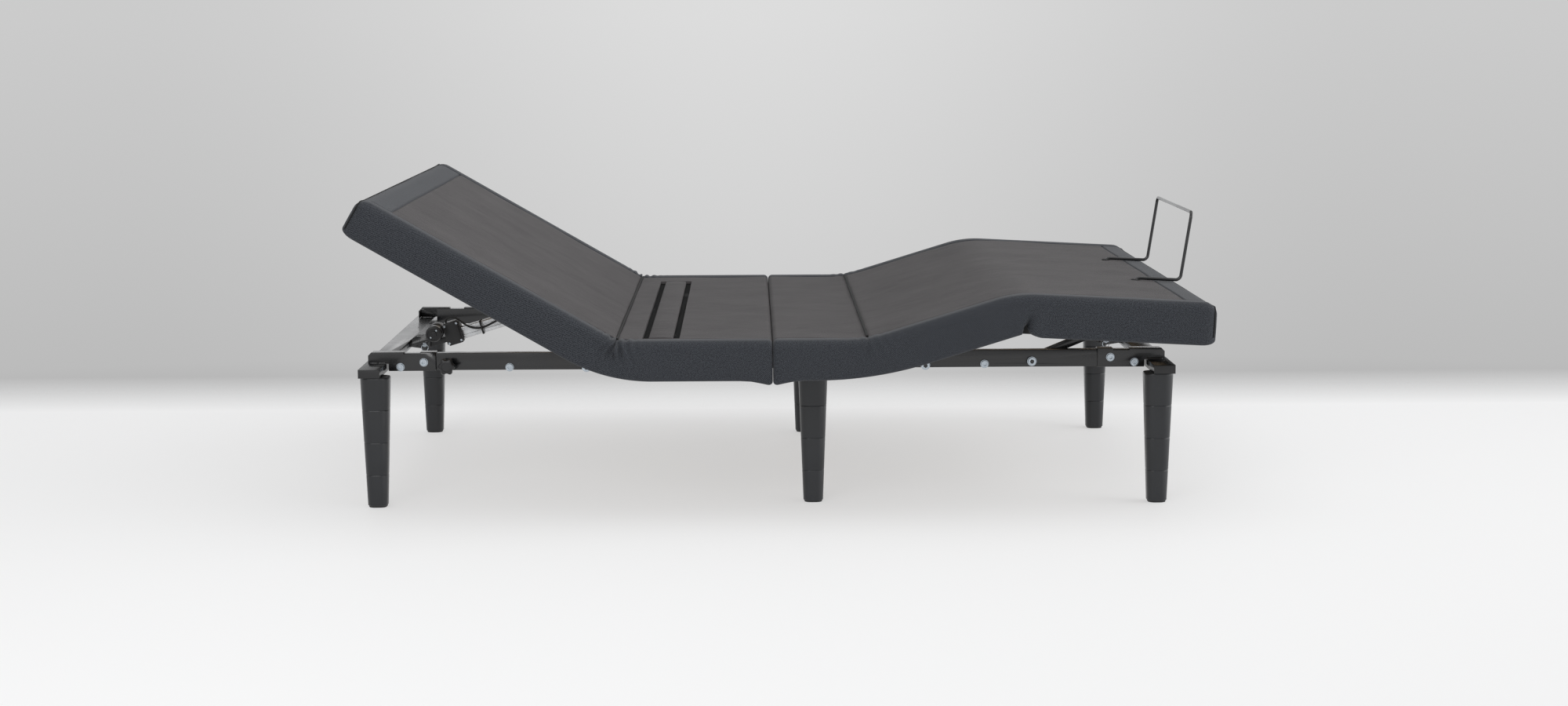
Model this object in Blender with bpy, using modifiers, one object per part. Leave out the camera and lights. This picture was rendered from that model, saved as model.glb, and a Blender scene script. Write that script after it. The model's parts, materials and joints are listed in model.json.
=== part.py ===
"""Adjustable bed base, queen size: a steel frame on six legs carries five
upholstered deck sections, raised by a head lift and a thigh lift.

Metres, +Z up, floor at Z = 0, head end towards -X, foot end towards +X.
The deck is held at rest with the head raised 30 and the thigh 17 degrees.

Each body has an empty on its joint's axis. Its pieces are built in that
empty's own axes: for a section, lever or arm, +X runs away from the middle
of the bed along the raised side, and a turn about -Y raises it.
"""

import math

import bmesh
import bpy
from mathutils import Matrix, Quaternion, Vector

# Levels of the flat deck
DECK_BOTTOM = 0.317
DECK_TOP = 0.406
PAD = 0.009
BOARD = 0.018
HINGE_Z = 0.388
BOARD_TOP_Z = DECK_TOP - PAD
BOARD_LOW_Z = BOARD_TOP_Z - BOARD
GAP = 0.0003

# Deck plan: distances along X from the point midway between the corner legs
HALF_WIDTH = 0.762
SIDE_WALL = 0.0335
HEAD_HINGE = -0.345
THIGH_HINGE = 0.228
HEAD_LENGTH = 0.658
THIGH_LENGTH = 0.347
FOOT_LENGTH = 0.449
SPLIT = 0.011
SPLIT_GAP = 0.0022
HINGE_GAP = 0.0095
REST_MIDDLE_X = 0.041326

# Rest angles and upper limits, in degrees from flat
HEAD_REST = 30.0
HEAD_LIMIT = 60.0
OVERRUN = 2.5
THIGH_REST = 17.0
THIGH_LIMIT = 35.0
FOOT_REST = -3.0
KNEE_REST = THIGH_REST - FOOT_REST
KNEE_LIMIT = THIGH_LIMIT * KNEE_REST / THIGH_REST

# Fixed frame
LEG_HEIGHT = 0.3045
LEG_TOP = 0.068
LEG_FOOT = 0.0455
LEG_SEAM = 0.0762
LEG_X = 0.907
LEG_Y = 0.550
MIDDLE_X = 0.106
MIDDLE_LEG_Y = 0.517
CROSS_X = 0.917
CROSS_SIZE = (0.050, 0.0202)
CROSS_HALF_LENGTH = 0.587
CROSS_Z = LEG_HEIGHT + GAP + CROSS_SIZE[1] / 2
RAIL_HALF_LENGTH = 0.884
RAIL_LOW = 0.309
RAIL_TOP = 0.349
RAIL_INSIDE = 0.455
RAIL_OUTSIDE = 0.480
WALL = 0.002

# Corner brackets, along X from the middle and up from the floor
BRACKET_THICK = 0.003
BRACKET_START = 0.775
BRACKET_NOTCH = (0.811, 0.850)
BRACKET_STEP = 0.885
BRACKET_END = 0.933
BRACKET_TOP = RAIL_TOP + GAP + BRACKET_THICK
BRACKET_NOTCH_Z = RAIL_TOP - 0.0015

# Hand knobs, control box, and the seat's slot with its padded slat
KNOB_AT = (-0.748, 0.320)
KNOB_RADIUS = 0.018
KNOB_LOBE = 0.0018
KNOB_STEM = 0.010
KNOB_SPAN = (0.0085, 0.030)
CONTROL_LOW = (-0.190, 0.060, 0.342)
CONTROL_HIGH = (-0.030, 0.170, BOARD_LOW_Z - GAP)
INLET_LOW = (-0.038, 0.100, 0.352)
INLET_HIGH = (-0.020, 0.124, 0.368)
SEAT_SLOT_LOW = (-0.284, -0.690, -0.2)
SEAT_SLOT_HIGH = (-0.200, 0.585, 0.2)
SLAT_LOW = (-0.270, -0.686, BOARD_TOP_Z + GAP - HINGE_Z)
SLAT_HIGH = (-0.214, 0.581, DECK_TOP - HINGE_Z)

# Section frames and hinges
TUBE_INSIDE = 0.445
TUBE_OUTSIDE = 0.470
TUBE_LOW_Z = 0.354
TUBE_TOP_Z = BOARD_LOW_Z - GAP
TUBE_FROM_HINGE = 0.030
LUG_RADIUS = 0.008
LUG = 0.005
PIN_RADIUS = 0.005
PIN_HOLE = 0.0054
PIVOT_HEAD = 0.0095

# Lift geometry, in a side view from the middle of the bed: (distance, Z)
HEAD_LIFT = {
    "hinge": (-HEAD_HINGE, HINGE_Z),
    "rest": HEAD_REST,
    "limit": HEAD_LIMIT,
    "tube": (0.423, 0.314),
    "arm": 0.170,
    "roller": 0.018,
    "drop": 0.060,
    "turn": 1.0,
    "lever": 0.130,
    "lever_angle": 55.0,
    "slot": (0.130, 0.154),
    "rod": 0.200,
    "window": (0.145, 0.320),
}
THIGH_LIFT = {
    "hinge": (THIGH_HINGE, HINGE_Z),
    "rest": THIGH_REST,
    "limit": THIGH_LIMIT,
    "tube": (0.371, 0.314),
    "arm": 0.150,
    "roller": 0.014,
    "drop": 0.050,
    "turn": 1.4,
    "lever": 0.150,
    "lever_angle": 45.0,
    "slot": (0.150, 0.172),
    "rod": 0.230,
    "window": (0.220, 0.360),
}
CLEVIS = (0.858, 0.312)
SLOT_HALF_WIDTH = 0.0102
LEVER_RIM = 0.005
WINDOW_HALF_WIDTH = 0.036
ARM_Y = 0.040
ARM_THICK = 0.006
ROLLER_WIDTH = 0.020
TORQUE_RADIUS = 0.011

# Actuator, measured along its screw from the clevis pin
GEAR_START = 0.055
GEAR_END = 0.098
SLEEVE_END = 0.258
SLEEVE_HALF = (0.018, 0.0155)
ROD_RADIUS = 0.010
FORK_BACK = 0.044
FORK_THROAT = 0.032
MOTOR_AT = (0.0346, 0.022)

# Foot links
LINK_PIVOT = (0.621, 0.322)
LINK_LENGTH = 0.2585
LINK_ANGLE = 22.3
LINK_INSIDE = 0.434
LINK_OUTSIDE = 0.442
LINK_EYE = (0.3038, -0.0541)

# Mattress retainer on the foot section
RETAINER_HALF_WIDTH = 0.262
RETAINER_HOOK = 0.333
RETAINER_END = 0.443
RETAINER_LEAN = 0.017
RETAINER_RISE = 0.170
RETAINER_WIRE = 0.004

BLACK_STEEL = (0.012, 0.012, 0.014)
CHARCOAL = (0.030, 0.032, 0.035)
ZINC = (0.62, 0.64, 0.66)
FABRIC = (0.045, 0.050, 0.058)
PLYWOOD = (0.50, 0.38, 0.24)
PLASTIC = (0.015, 0.015, 0.016)
ALUMINIUM = (0.60, 0.61, 0.62)


# ---------------------------------------------------------------- scene


def clear_scene():
    for found in list(bpy.data.objects):
        bpy.data.objects.remove(found, do_unlink=True)


def new_collection(name, hidden=False):
    made = bpy.data.collections.new(name)
    bpy.context.scene.collection.children.link(made)
    made.hide_render = hidden
    return made


def new_owner(name, location=(0, 0, 0), tilt=0.0, faces_head=False, parent=None):
    """An empty on a joint's axis. tilt raises its +X end, in degrees."""
    owner = bpy.data.objects.new(name, None)
    PARTS.objects.link(owner)
    owner.empty_display_size = 0.05
    owner.location = location
    owner.rotation_euler = (0, -math.radians(tilt), math.pi if faces_head else 0)
    owner.parent = parent
    return owner


def new_material(name, colour, roughness, metallic):
    made = bpy.data.materials.new(name)
    made.use_nodes = True
    shader = made.node_tree.nodes["Principled BSDF"]
    shader.inputs["Base Color"].default_value = (*colour, 1)
    shader.inputs["Roughness"].default_value = roughness
    shader.inputs["Metallic"].default_value = metallic
    return made


def finish(piece, name, colour, roughness=0.45, metallic=0.0):
    """Makes a shape one of the bed's named parts."""
    piece.name = name
    piece.data.name = name
    piece.data.materials.clear()
    piece.data.materials.append(new_material(name, colour, roughness, metallic))
    piece.data.shade_smooth()
    piece.data.set_sharp_from_angle(angle=math.radians(35))
    return piece


# --------------------------------------------------------------- shapes


def place(mesh, owner, name="shape"):
    piece = bpy.data.objects.new(name, mesh)
    PARTS.objects.link(piece)
    piece.parent = owner
    return piece


def mesh_of(shape):
    mesh = bpy.data.meshes.new("shape")
    shape.to_mesh(mesh)
    shape.free()
    return mesh


def box(owner, low, high, bevel=0.0):
    """A box between two corners, its edges rounded by bevel."""
    low, high = Vector(low), Vector(high)
    size = high - low
    shape = bmesh.new()
    matrix = Matrix.Translation((low + high) / 2) @ Matrix.Diagonal((*size, 1))
    bmesh.ops.create_cube(shape, size=1, matrix=matrix)
    if bevel:
        edges = shape.edges[:]
        bmesh.ops.bevel(shape, geom=edges, offset=bevel, segments=2, affect="EDGES")
    return place(mesh_of(shape), owner)


def cylinder(owner, start, end, radius, sides=20):
    """A cylinder from the centre of one end to the centre of the other."""
    start, end = Vector(start), Vector(end)
    along = end - start
    shape = bmesh.new()
    turn = along.to_track_quat("Z", "Y").to_matrix().to_4x4()
    bmesh.ops.create_cone(
        shape,
        cap_ends=True,
        segments=sides,
        radius1=radius,
        radius2=radius,
        depth=along.length,
        matrix=Matrix.Translation((start + end) / 2) @ turn,
    )
    return place(mesh_of(shape), owner)


def mesh_from_curve(curve, owner, turn=None):
    """A closed mesh of a curve object, with its caps welded to its sides."""
    shape = bpy.data.objects.new("curve", curve)
    PARTS.objects.link(shape)
    if turn:
        shape.matrix_world = turn
    bpy.context.view_layer.update()
    graph = bpy.context.evaluated_depsgraph_get()
    mesh = bpy.data.meshes.new_from_object(shape.evaluated_get(graph))
    mesh.transform(shape.matrix_world)
    bpy.data.objects.remove(shape)
    solid = bmesh.new()
    solid.from_mesh(mesh)
    bmesh.ops.remove_doubles(solid, verts=solid.verts, dist=0.00001)
    bmesh.ops.recalc_face_normals(solid, faces=solid.faces)
    solid.to_mesh(mesh)
    solid.free()
    return place(mesh, owner)


def plate(owner, outline, y_low, y_high, hole=None):
    """A flat plate in the XZ plane: an outline and one hole, as (x, z) points."""
    curve = bpy.data.curves.new("plate", "CURVE")
    curve.dimensions = "2D"
    curve.fill_mode = "BOTH"
    curve.extrude = (y_high - y_low) / 2
    for points in filter(None, (outline, hole)):
        spline = curve.splines.new("POLY")
        spline.points.add(len(points) - 1)
        spline.use_cyclic_u = True
        for point, (x, z) in zip(spline.points, points):
            point.co = (x, z, 0, 1)
    stand = Matrix.Translation((0, (y_low + y_high) / 2, 0))
    return mesh_from_curve(curve, owner, stand @ Matrix.Rotation(math.pi / 2, 4, "X"))


def wire(owner, points, radius):
    """A round wire through points, closed at both ends."""
    curve = bpy.data.curves.new("wire", "CURVE")
    curve.dimensions = "3D"
    curve.bevel_depth = radius
    curve.bevel_resolution = 2
    curve.use_fill_caps = True
    spline = curve.splines.new("POLY")
    spline.points.add(len(points) - 1)
    for point, centre in zip(spline.points, points):
        point.co = (*centre, 1)
    return mesh_from_curve(curve, owner)


def turned(owner, profile, y_axis_at, sides=28):
    """A turned shape about a line along Y: profile is (y, radius) points."""
    mesh = bpy.data.meshes.new("profile")
    points = [(0, profile[0][0], 0)]
    points += [(radius, y, 0) for y, radius in profile]
    points.append((0, profile[-1][0], 0))
    edges = [(i, i + 1) for i in range(len(points) - 1)]
    mesh.from_pydata(points, edges, [])
    piece = place(mesh, owner)
    piece.location = (y_axis_at[0], 0, y_axis_at[1])
    screw = piece.modifiers.new("turn", "SCREW")
    screw.axis = "Y"
    screw.steps = sides
    screw.render_steps = sides
    screw.use_merge_vertices = True
    screw.merge_threshold = 0.0001
    screw.use_normal_calculate = True
    return piece


def combine(piece, other, operation):
    """Adds other to piece, or cuts it away, and keeps it as a hidden helper."""
    change = piece.modifiers.new(operation.lower(), "BOOLEAN")
    change.operation = operation
    change.object = other
    PARTS.objects.unlink(other)
    HELPERS.objects.link(other)
    other.hide_render = True
    other.display_type = "WIRE"
    return piece


def add(piece, *others):
    for other in others:
        combine(piece, other, "UNION")
    return piece


def cut(piece, *others):
    for other in others:
        combine(piece, other, "DIFFERENCE")
    return piece


def tube_box(owner, low, high):
    """A rectangular tube open at both ends, running along its longest side."""
    outer = box(owner, low, high)
    size = [b - a for a, b in zip(low, high)]
    along = size.index(max(size))
    inset = [-WALL if i == along else WALL for i in range(3)]
    inner_low = [a + d for a, d in zip(low, inset)]
    inner_high = [b - d for b, d in zip(high, inset)]
    return cut(outer, box(owner, inner_low, inner_high))


def arc(centre, radius, start, end, steps):
    """Points on an arc in a side view, from one angle to another in degrees."""
    turns = [math.radians(start + (end - start) * i / steps) for i in range(steps + 1)]
    return [(centre[0] + radius * math.cos(a), centre[1] + radius * math.sin(a)) for a in turns]


def circle(centre, radius, sides=16):
    return arc(centre, radius, 0, 360 - 360 / sides, sides - 1)


def capsule(start, end, radius, steps=8):
    """An outline round two points, with half circles at its ends."""
    facing = math.degrees(math.atan2(end[1] - start[1], end[0] - start[0]))
    near = arc(start, radius, facing + 90, facing + 270, steps)
    return near + arc(end, radius, facing - 90, facing + 90, steps)


def both_sides(low, high, side):
    """A span of |Y| put on one side of the bed: side is -1 or 1."""
    return sorted((side * low, side * high))


# ----------------------------------------------------- lift kinematics


def rotated(point, centre, degrees):
    """A side-view point turned about a centre; positive raises +X."""
    turn = math.radians(degrees)
    x, z = point[0] - centre[0], point[1] - centre[1]
    return (
        centre[0] + x * math.cos(turn) - z * math.sin(turn),
        centre[1] + x * math.sin(turn) + z * math.cos(turn),
    )


def roller_centre(lift):
    """Where the lift arm holds its roller at rest: drop below the section's line."""
    rest = math.radians(lift["rest"])
    x = lift["tube"][0] - lift["hinge"][0]
    z = lift["tube"][1] - lift["hinge"][1]
    above_line = -x * math.sin(rest) + z * math.cos(rest)
    angle = rest + math.asin((-lift["drop"] - above_line) / lift["arm"])
    return rotated((lift["tube"][0] + lift["arm"], lift["tube"][1]), lift["tube"], math.degrees(angle))


def lever_pin(lift):
    tip = (lift["tube"][0] + lift["lever"], lift["tube"][1])
    return rotated(tip, lift["tube"], lift["lever_angle"])


def roller_path(lift, steps=15):
    """The roller's centre in the section's axes, from just below flat to past the limit."""
    path = []
    for i in range(steps + 1):
        section = (lift["limit"] + 2 * OVERRUN) * i / steps - OVERRUN
        turn = lift["turn"] * (section - lift["rest"])
        centre = rotated(roller_centre(lift), lift["tube"], turn)
        level = rotated(centre, lift["hinge"], -section)
        path.append((level[0] - lift["hinge"][0], level[1] - lift["hinge"][1]))
    return sorted(path)


def track_outline(lift):
    """A cam track that the roller meets all along its way, under the board."""
    path = roller_path(lift)
    lift_off = lift["roller"] + 2 * GAP
    top = BOARD_LOW_Z - HINGE_Z - GAP
    under = []
    for i, (x, z) in enumerate(path):
        before, after = path[max(i - 1, 0)], path[min(i + 1, len(path) - 1)]
        run, rise = after[0] - before[0], after[1] - before[1]
        length = math.hypot(run, rise)
        under.append((x - rise / length * lift_off, z + run / length * lift_off))
    under = [point for point in under if point[1] < top - 0.002]
    return under + [(under[-1][0], top), (under[0][0], top)]


# -------------------------------------------------------------- fixed frame


def leg(name, x, y):
    """Four stacked, tapered risers of a rounded square, with a seam at each joint."""
    groove = 0.0012
    heights = [(0, 0), (LEG_HEIGHT, 0)]
    for i in (1, 2, 3):
        seam = i * LEG_SEAM
        heights += [(seam - groove, 0), (seam - groove / 2, groove)]
        heights += [(seam + groove / 2, groove), (seam + groove, 0)]
    shape = bmesh.new()
    rings = []
    for z, inset in sorted(heights):
        width = LEG_FOOT + (LEG_TOP - LEG_FOOT) * z / LEG_HEIGHT - 2 * inset
        rings.append([shape.verts.new((px, py, z)) for px, py in rounded_square(width)])
    for lower, upper in zip(rings, rings[1:]):
        for i in range(len(lower)):
            j = (i + 1) % len(lower)
            shape.faces.new((lower[i], lower[j], upper[j], upper[i]))
    shape.faces.new(reversed(rings[0]))
    shape.faces.new(rings[-1])
    piece = place(mesh_of(shape), BASE)
    piece.location = (x, y, 0)
    return finish(piece, name, CHARCOAL, 0.38)


def rounded_square(width):
    radius = 0.22 * width
    reach = width / 2 - radius
    points = []
    for i, (sx, sy) in enumerate(((1, 1), (-1, 1), (-1, -1), (1, -1))):
        points += arc((sx * reach, sy * reach), radius, 90 * i, 90 * i + 90, 3)
    return points


def cross_tube(name, x):
    half_x, half_z = CROSS_SIZE[0] / 2, CROSS_SIZE[1] / 2
    low = (x - half_x, -CROSS_HALF_LENGTH, CROSS_Z - half_z)
    high = (x + half_x, CROSS_HALF_LENGTH, CROSS_Z + half_z)
    return finish(tube_box(BASE, low, high), name, BLACK_STEEL, 0.25, 0.3)


def add_clevis(tube, end):
    """Two ears and a pin on an end cross tube, for an actuator's tail."""
    x, z = CLEVIS
    ear = [
        (x + 0.036, z - 0.006),
        (x + 0.036, z + 0.012),
        (x + 0.020, z + 0.022),
        (x - 0.004, z + 0.022),
        (x - 0.013, z + 0.012),
        (x - 0.013, z - 0.008),
        (x - 0.006, z - 0.012),
    ]
    outline = [(end * px, pz) for px, pz in ear]
    for side in (-1, 1):
        add(tube, plate(BASE, outline, *both_sides(0.014, 0.018, side)))
    add(tube, cylinder(BASE, (end * x, -0.021, z), (end * x, 0.021, z), PIN_RADIUS))


def side_rail(name, side):
    """A rail along the bed, drilled for the lift pivots and notched over the middle tube."""
    low_y, high_y = both_sides(RAIL_INSIDE, RAIL_OUTSIDE, side)
    ends = (-RAIL_HALF_LENGTH, low_y, RAIL_LOW), (RAIL_HALF_LENGTH, high_y, RAIL_TOP)
    rail = tube_box(BASE, *ends)
    half = CROSS_SIZE[0] / 2 + 0.001
    notch_top = CROSS_Z + CROSS_SIZE[1] / 2 + GAP
    notch_low = (MIDDLE_X - half, low_y - 0.001, RAIL_LOW - 0.001)
    notch_high = (MIDDLE_X + half, high_y + 0.001, notch_top)
    cut(rail, box(BASE, notch_low, notch_high))
    for x, z in pivot_points():
        start, end = (x, low_y - 0.001, z), (x, high_y + 0.001, z)
        cut(rail, cylinder(BASE, start, end, PIN_HOLE))
    return finish(rail, name, BLACK_STEEL, 0.32, 0.3)


def pivot_points():
    """Where the torque tubes and the foot links turn in the side rails."""
    head, thigh = HEAD_LIFT["tube"], THIGH_LIFT["tube"]
    return (-head[0], head[1]), thigh, LINK_PIVOT


def corner_bracket(name, end, side):
    """A folded plate that ties a rail's end to the top of a cross tube."""
    foot = CROSS_Z + CROSS_SIZE[1] / 2 + GAP
    low, corner = RAIL_LOW - 0.001, 0.008
    notch_near, notch_far = BRACKET_NOTCH
    outline = [
        (BRACKET_END, foot),
        (BRACKET_STEP, foot),
        (BRACKET_STEP, low),
        (BRACKET_START, low),
        (BRACKET_START, BRACKET_TOP),
        (notch_near, BRACKET_TOP),
        (notch_near, BRACKET_NOTCH_Z),
        (notch_far, BRACKET_NOTCH_Z),
        (notch_far, BRACKET_TOP),
        (BRACKET_END - corner, BRACKET_TOP),
        (BRACKET_END, BRACKET_TOP - corner),
    ]
    face = RAIL_OUTSIDE + GAP
    outside = both_sides(face, face + BRACKET_THICK, side)
    bracket = plate(BASE, [(end * x, z) for x, z in outline], *outside)
    inner = both_sides(RAIL_INSIDE - BRACKET_THICK, face + BRACKET_THICK / 2, side)
    for near, far in ((BRACKET_START, notch_near), (notch_far, BRACKET_END - corner - 0.001)):
        x_low, x_high = sorted((end * near, end * far))
        tab = box(BASE, (x_low, inner[0], RAIL_TOP + GAP), (x_high, inner[1], BRACKET_TOP))
        add(bracket, tab)
    x_low, x_high = sorted((end * (BRACKET_END - BRACKET_THICK), end * BRACKET_END))
    wall = box(BASE, (x_low, inner[0], foot), (x_high, inner[1], BRACKET_TOP - corner))
    return finish(add(bracket, wall), name, BLACK_STEEL, 0.32, 0.3)


def knob(name, side):
    """A six-lobed hand knob on its stem, outside the head end of a rail."""
    lobes = []
    points = 36
    for i in range(points):
        angle = 2 * math.pi * i / points
        radius = KNOB_RADIUS + KNOB_LOBE * math.cos(6 * angle)
        lobes.append((radius * math.cos(angle), radius * math.sin(angle)))
    owner = new_owner(name + "_axis", (KNOB_AT[0], 0, KNOB_AT[1]), parent=BASE)
    start, end = (RAIL_OUTSIDE + depth for depth in KNOB_SPAN)
    grip = plate(owner, lobes, *both_sides(start, end, side))
    near, far = side * (RAIL_OUTSIDE + 0.0005), side * (start + 0.004)
    add(grip, cylinder(owner, (0, near, 0), (0, far, 0), KNOB_STEM))
    return finish(grip, name, PLASTIC, 0.42)


def control_box():
    """The power and control unit under the seat board, with its mains inlet."""
    case = box(BASE, CONTROL_LOW, CONTROL_HIGH, bevel=0.003)
    inlet = box(BASE, INLET_LOW, INLET_HIGH)
    return finish(cut(case, inlet), "control_box", PLASTIC, 0.5)


# -------------------------------------------------------------- deck sections


def hinge_lug(owner, reach, side, outer, pinned):
    """A lug round a hinge's axis. reach is -1 or 1, towards its own tube."""
    foot, neck = TUBE_FROM_HINGE + 0.004, 0.012
    outline = arc((0, 0), LUG_RADIUS, 0, 225, 12)
    outline += [(0.001, -neck), (0.010, -2 * neck), (foot, -2 * neck)]
    outline += [(foot, -neck), (LUG_RADIUS, -neck)]
    outline = [(reach * x, z) for x, z in outline]
    edge = TUBE_OUTSIDE - LUG if outer else TUBE_INSIDE - 0.0005
    span = both_sides(edge, edge + LUG + 0.0005, side)
    hole = None if pinned else circle((0, 0), PIN_HOLE)
    lug = plate(owner, outline, *span, hole)
    if pinned:
        inside, end = side * (TUBE_INSIDE + 0.001), side * (TUBE_OUTSIDE + 0.004)
        add(lug, cylinder(owner, (0, inside, 0), (0, end, 0), PIN_RADIUS, 16))
        head = side * (TUBE_OUTSIDE + 0.001)
        add(lug, cylinder(owner, (0, head, 0), (0, end, 0), 0.0075, 16))
    return lug


def frame_tube(owner, start, end, side, low_z=TUBE_LOW_Z):
    low_y, high_y = both_sides(TUBE_INSIDE, TUBE_OUTSIDE, side)
    low = (start, low_y, low_z - HINGE_Z)
    return tube_box(owner, low, (end, high_y, TUBE_TOP_Z - HINGE_Z))


def tray(owner, name, outline, hollow, extra_cuts=()):
    """An upholstered cover: a thin top with side walls, open underneath.

    outline is its side view and hollow the span of X left open below."""
    block = plate(owner, outline, -HALF_WIDTH, HALF_WIDTH)
    inside = HALF_WIDTH - SIDE_WALL
    level = BOARD_TOP_Z + GAP - HINGE_Z
    low, high = (hollow[0], -inside, -0.1), (hollow[1], inside, level)
    cut(block, box(owner, low, high), *extra_cuts)
    return finish(block, name, FABRIC, 0.9)


def lift_window(owner, lift):
    """A cutter for the opening in a board that the lever and rod fold into."""
    start, end = lift["window"]
    half = WINDOW_HALF_WIDTH
    return box(owner, (start, -half, -0.1), (end, half, 0.1))


def board(owner, name, start, end, cuts=()):
    half = HALF_WIDTH - SIDE_WALL - 0.0005
    low, high = BOARD_LOW_Z - HINGE_Z, BOARD_TOP_Z - HINGE_Z
    piece = box(owner, (start, -half, low), (end, half, high))
    return finish(cut(piece, *cuts), name, PLYWOOD, 0.7)


def valley_end(limit):
    """A section's end at a hinge that folds upwards: clear above the axis."""
    clear = 0.001
    above = DECK_TOP - HINGE_Z
    back = above * math.tan(math.radians(limit / 2)) + clear
    return [(clear, DECK_BOTTOM - HINGE_Z), (clear, 0), (back, above)]


def ridge_end(limit):
    """A section's end at a hinge that folds downwards: clear below the axis."""
    clear = 0.001
    below = HINGE_Z - DECK_BOTTOM
    back = below * math.tan(math.radians(limit / 2)) + clear
    return [(back, -below), (clear, 0), (clear, DECK_TOP - HINGE_Z)]


def flipped(points, about=0.0):
    """An end profile seen from the other side of its hinge."""
    return [(about - x, z) for x, z in reversed(points)]


def square_end(x):
    return [(x, DECK_TOP - HINGE_Z), (x, DECK_BOTTOM - HINGE_Z)]


def head_section():
    end = HEAD_LENGTH
    outline = valley_end(HEAD_LIMIT) + square_end(end)
    tray(HEAD, "head_pad", outline, (-0.1, end - SIDE_WALL))
    window = lift_window(HEAD, HEAD_LIFT)
    board(HEAD, "head_board", HINGE_GAP, end - SIDE_WALL - 0.0005, [window])
    for side, word in SIDES:
        tube = frame_tube(HEAD, TUBE_FROM_HINGE, end - 0.045, -side)
        add(tube, hinge_lug(HEAD, 1, -side, outer=True, pinned=False))
        finish(tube, word + "_head_frame_tube", BLACK_STEEL, 0.35, 0.3)
    track(HEAD, HEAD_LIFT, "head_lift_track")


def thigh_section():
    end = THIGH_LENGTH
    outline = valley_end(THIGH_LIMIT) + flipped(ridge_end(KNEE_LIMIT), end)
    tray(THIGH, "thigh_pad", outline, (-0.1, end + 0.1))
    window = lift_window(THIGH, THIGH_LIFT)
    board(THIGH, "thigh_board", HINGE_GAP, end - HINGE_GAP, [window])
    for side, word in SIDES:
        tube = frame_tube(THIGH, TUBE_FROM_HINGE, end - TUBE_FROM_HINGE, side)
        add(tube, hinge_lug(THIGH, 1, side, outer=True, pinned=False))
        knee = hinge_lug(FOOT_AXIS_FLAT, -1, side, outer=False, pinned=True)
        add(tube, knee)
        finish(tube, word + "_thigh_frame_tube", BLACK_STEEL, 0.35, 0.3)
    track(THIGH, THIGH_LIFT, "thigh_lift_track")


def foot_section():
    end = FOOT_LENGTH
    outline = ridge_end(KNEE_LIMIT) + square_end(end)
    holes = [retainer_hole(side) for side, _ in SIDES]
    tray(FOOT, "foot_pad", outline, (-0.1, end - SIDE_WALL), holes)
    holes = [retainer_hole(side) for side, _ in SIDES]
    board(FOOT, "foot_board", HINGE_GAP, end - SIDE_WALL - 0.0005, holes)
    for side, word in SIDES:
        tube = frame_tube(FOOT, TUBE_FROM_HINGE, end - 0.045, side)
        add(tube, hinge_lug(FOOT, 1, side, outer=True, pinned=False))
        add(tube, link_bracket(side))
        finish(tube, word + "_foot_frame_tube", BLACK_STEEL, 0.35, 0.3)
    retainer()


def link_bracket(side):
    """A plate under a foot frame tube, drilled for the foot link's pin."""
    x, z = LINK_EYE
    radius = 0.014
    top = TUBE_LOW_Z - HINGE_Z + 0.010
    outline = [(x + radius, top), (x - radius, top)]
    outline += arc((x, z), radius, 180, 360, 10)
    span = both_sides(TUBE_INSIDE - 0.0005, TUBE_INSIDE + 0.006, side)
    return plate(FOOT, outline, *span, circle((x, z), PIN_RADIUS + 0.0018))


def retainer_hole(side):
    y = side * RETAINER_HALF_WIDTH
    x = RETAINER_HOOK + 0.0015
    start, end = (x, y, -0.020), (x, y, 0.030)
    return cylinder(FOOT, start, end, RETAINER_WIRE + 0.0035, 12)


def rounded_path(points, radius, steps=5):
    """Points joined by straight runs, with each corner turned through an arc."""
    points = [Vector(p) for p in points]
    path = [points[0]]
    for before, corner, after in zip(points, points[1:], points[2:]):
        back, on = (before - corner).normalized(), (after - corner).normalized()
        half = back.angle(on) / 2
        centre = corner + (back + on).normalized() * (radius / math.sin(half))
        start = corner + back * (radius / math.tan(half)) - centre
        end = corner + on * (radius / math.tan(half)) - centre
        axis, turn = start.cross(end), start.angle(end)
        path += [centre + Quaternion(axis, turn * i / steps) @ start for i in range(steps + 1)]
    return path + [points[-1]]


def retainer():
    """A bent-wire mattress stop that plugs into the foot section's top."""
    over = DECK_TOP - HINGE_Z + RETAINER_WIRE + 0.001
    top = DECK_TOP - HINGE_Z + RETAINER_RISE
    y = RETAINER_HALF_WIDTH
    half = [
        (RETAINER_HOOK, y, -0.006),
        (RETAINER_HOOK, y, over),
        (RETAINER_END, y, over),
        (RETAINER_END + RETAINER_LEAN, y, top),
    ]
    path = half + [(x, -across, z) for x, across, z in reversed(half)]
    bar = wire(FOOT, rounded_path(path, 0.012), RETAINER_WIRE)
    finish(bar, "mattress_retainer", BLACK_STEEL, 0.3, 0.3)


def track(owner, lift, name):
    """Two cam rails for the lift's pair of rollers, joined by a bridge at their near end."""
    inner = ARM_Y + ARM_THICK
    outer = inner + ROLLER_WIDTH + 0.002
    outline = track_outline(lift)
    rails = plate(owner, outline, -outer, outer)
    low_x, high_x = outline[0][0], outline[-2][0] + 0.01
    bridge_low = BOARD_LOW_Z - HINGE_Z - 0.006
    below = box(owner, (low_x - 0.01, -inner, -0.12), (high_x, inner, bridge_low))
    beyond = box(owner, (low_x + 0.014, -inner, -0.12), (high_x, inner, 0))
    finish(cut(rails, below, beyond), name, PLASTIC, 0.45)


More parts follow.
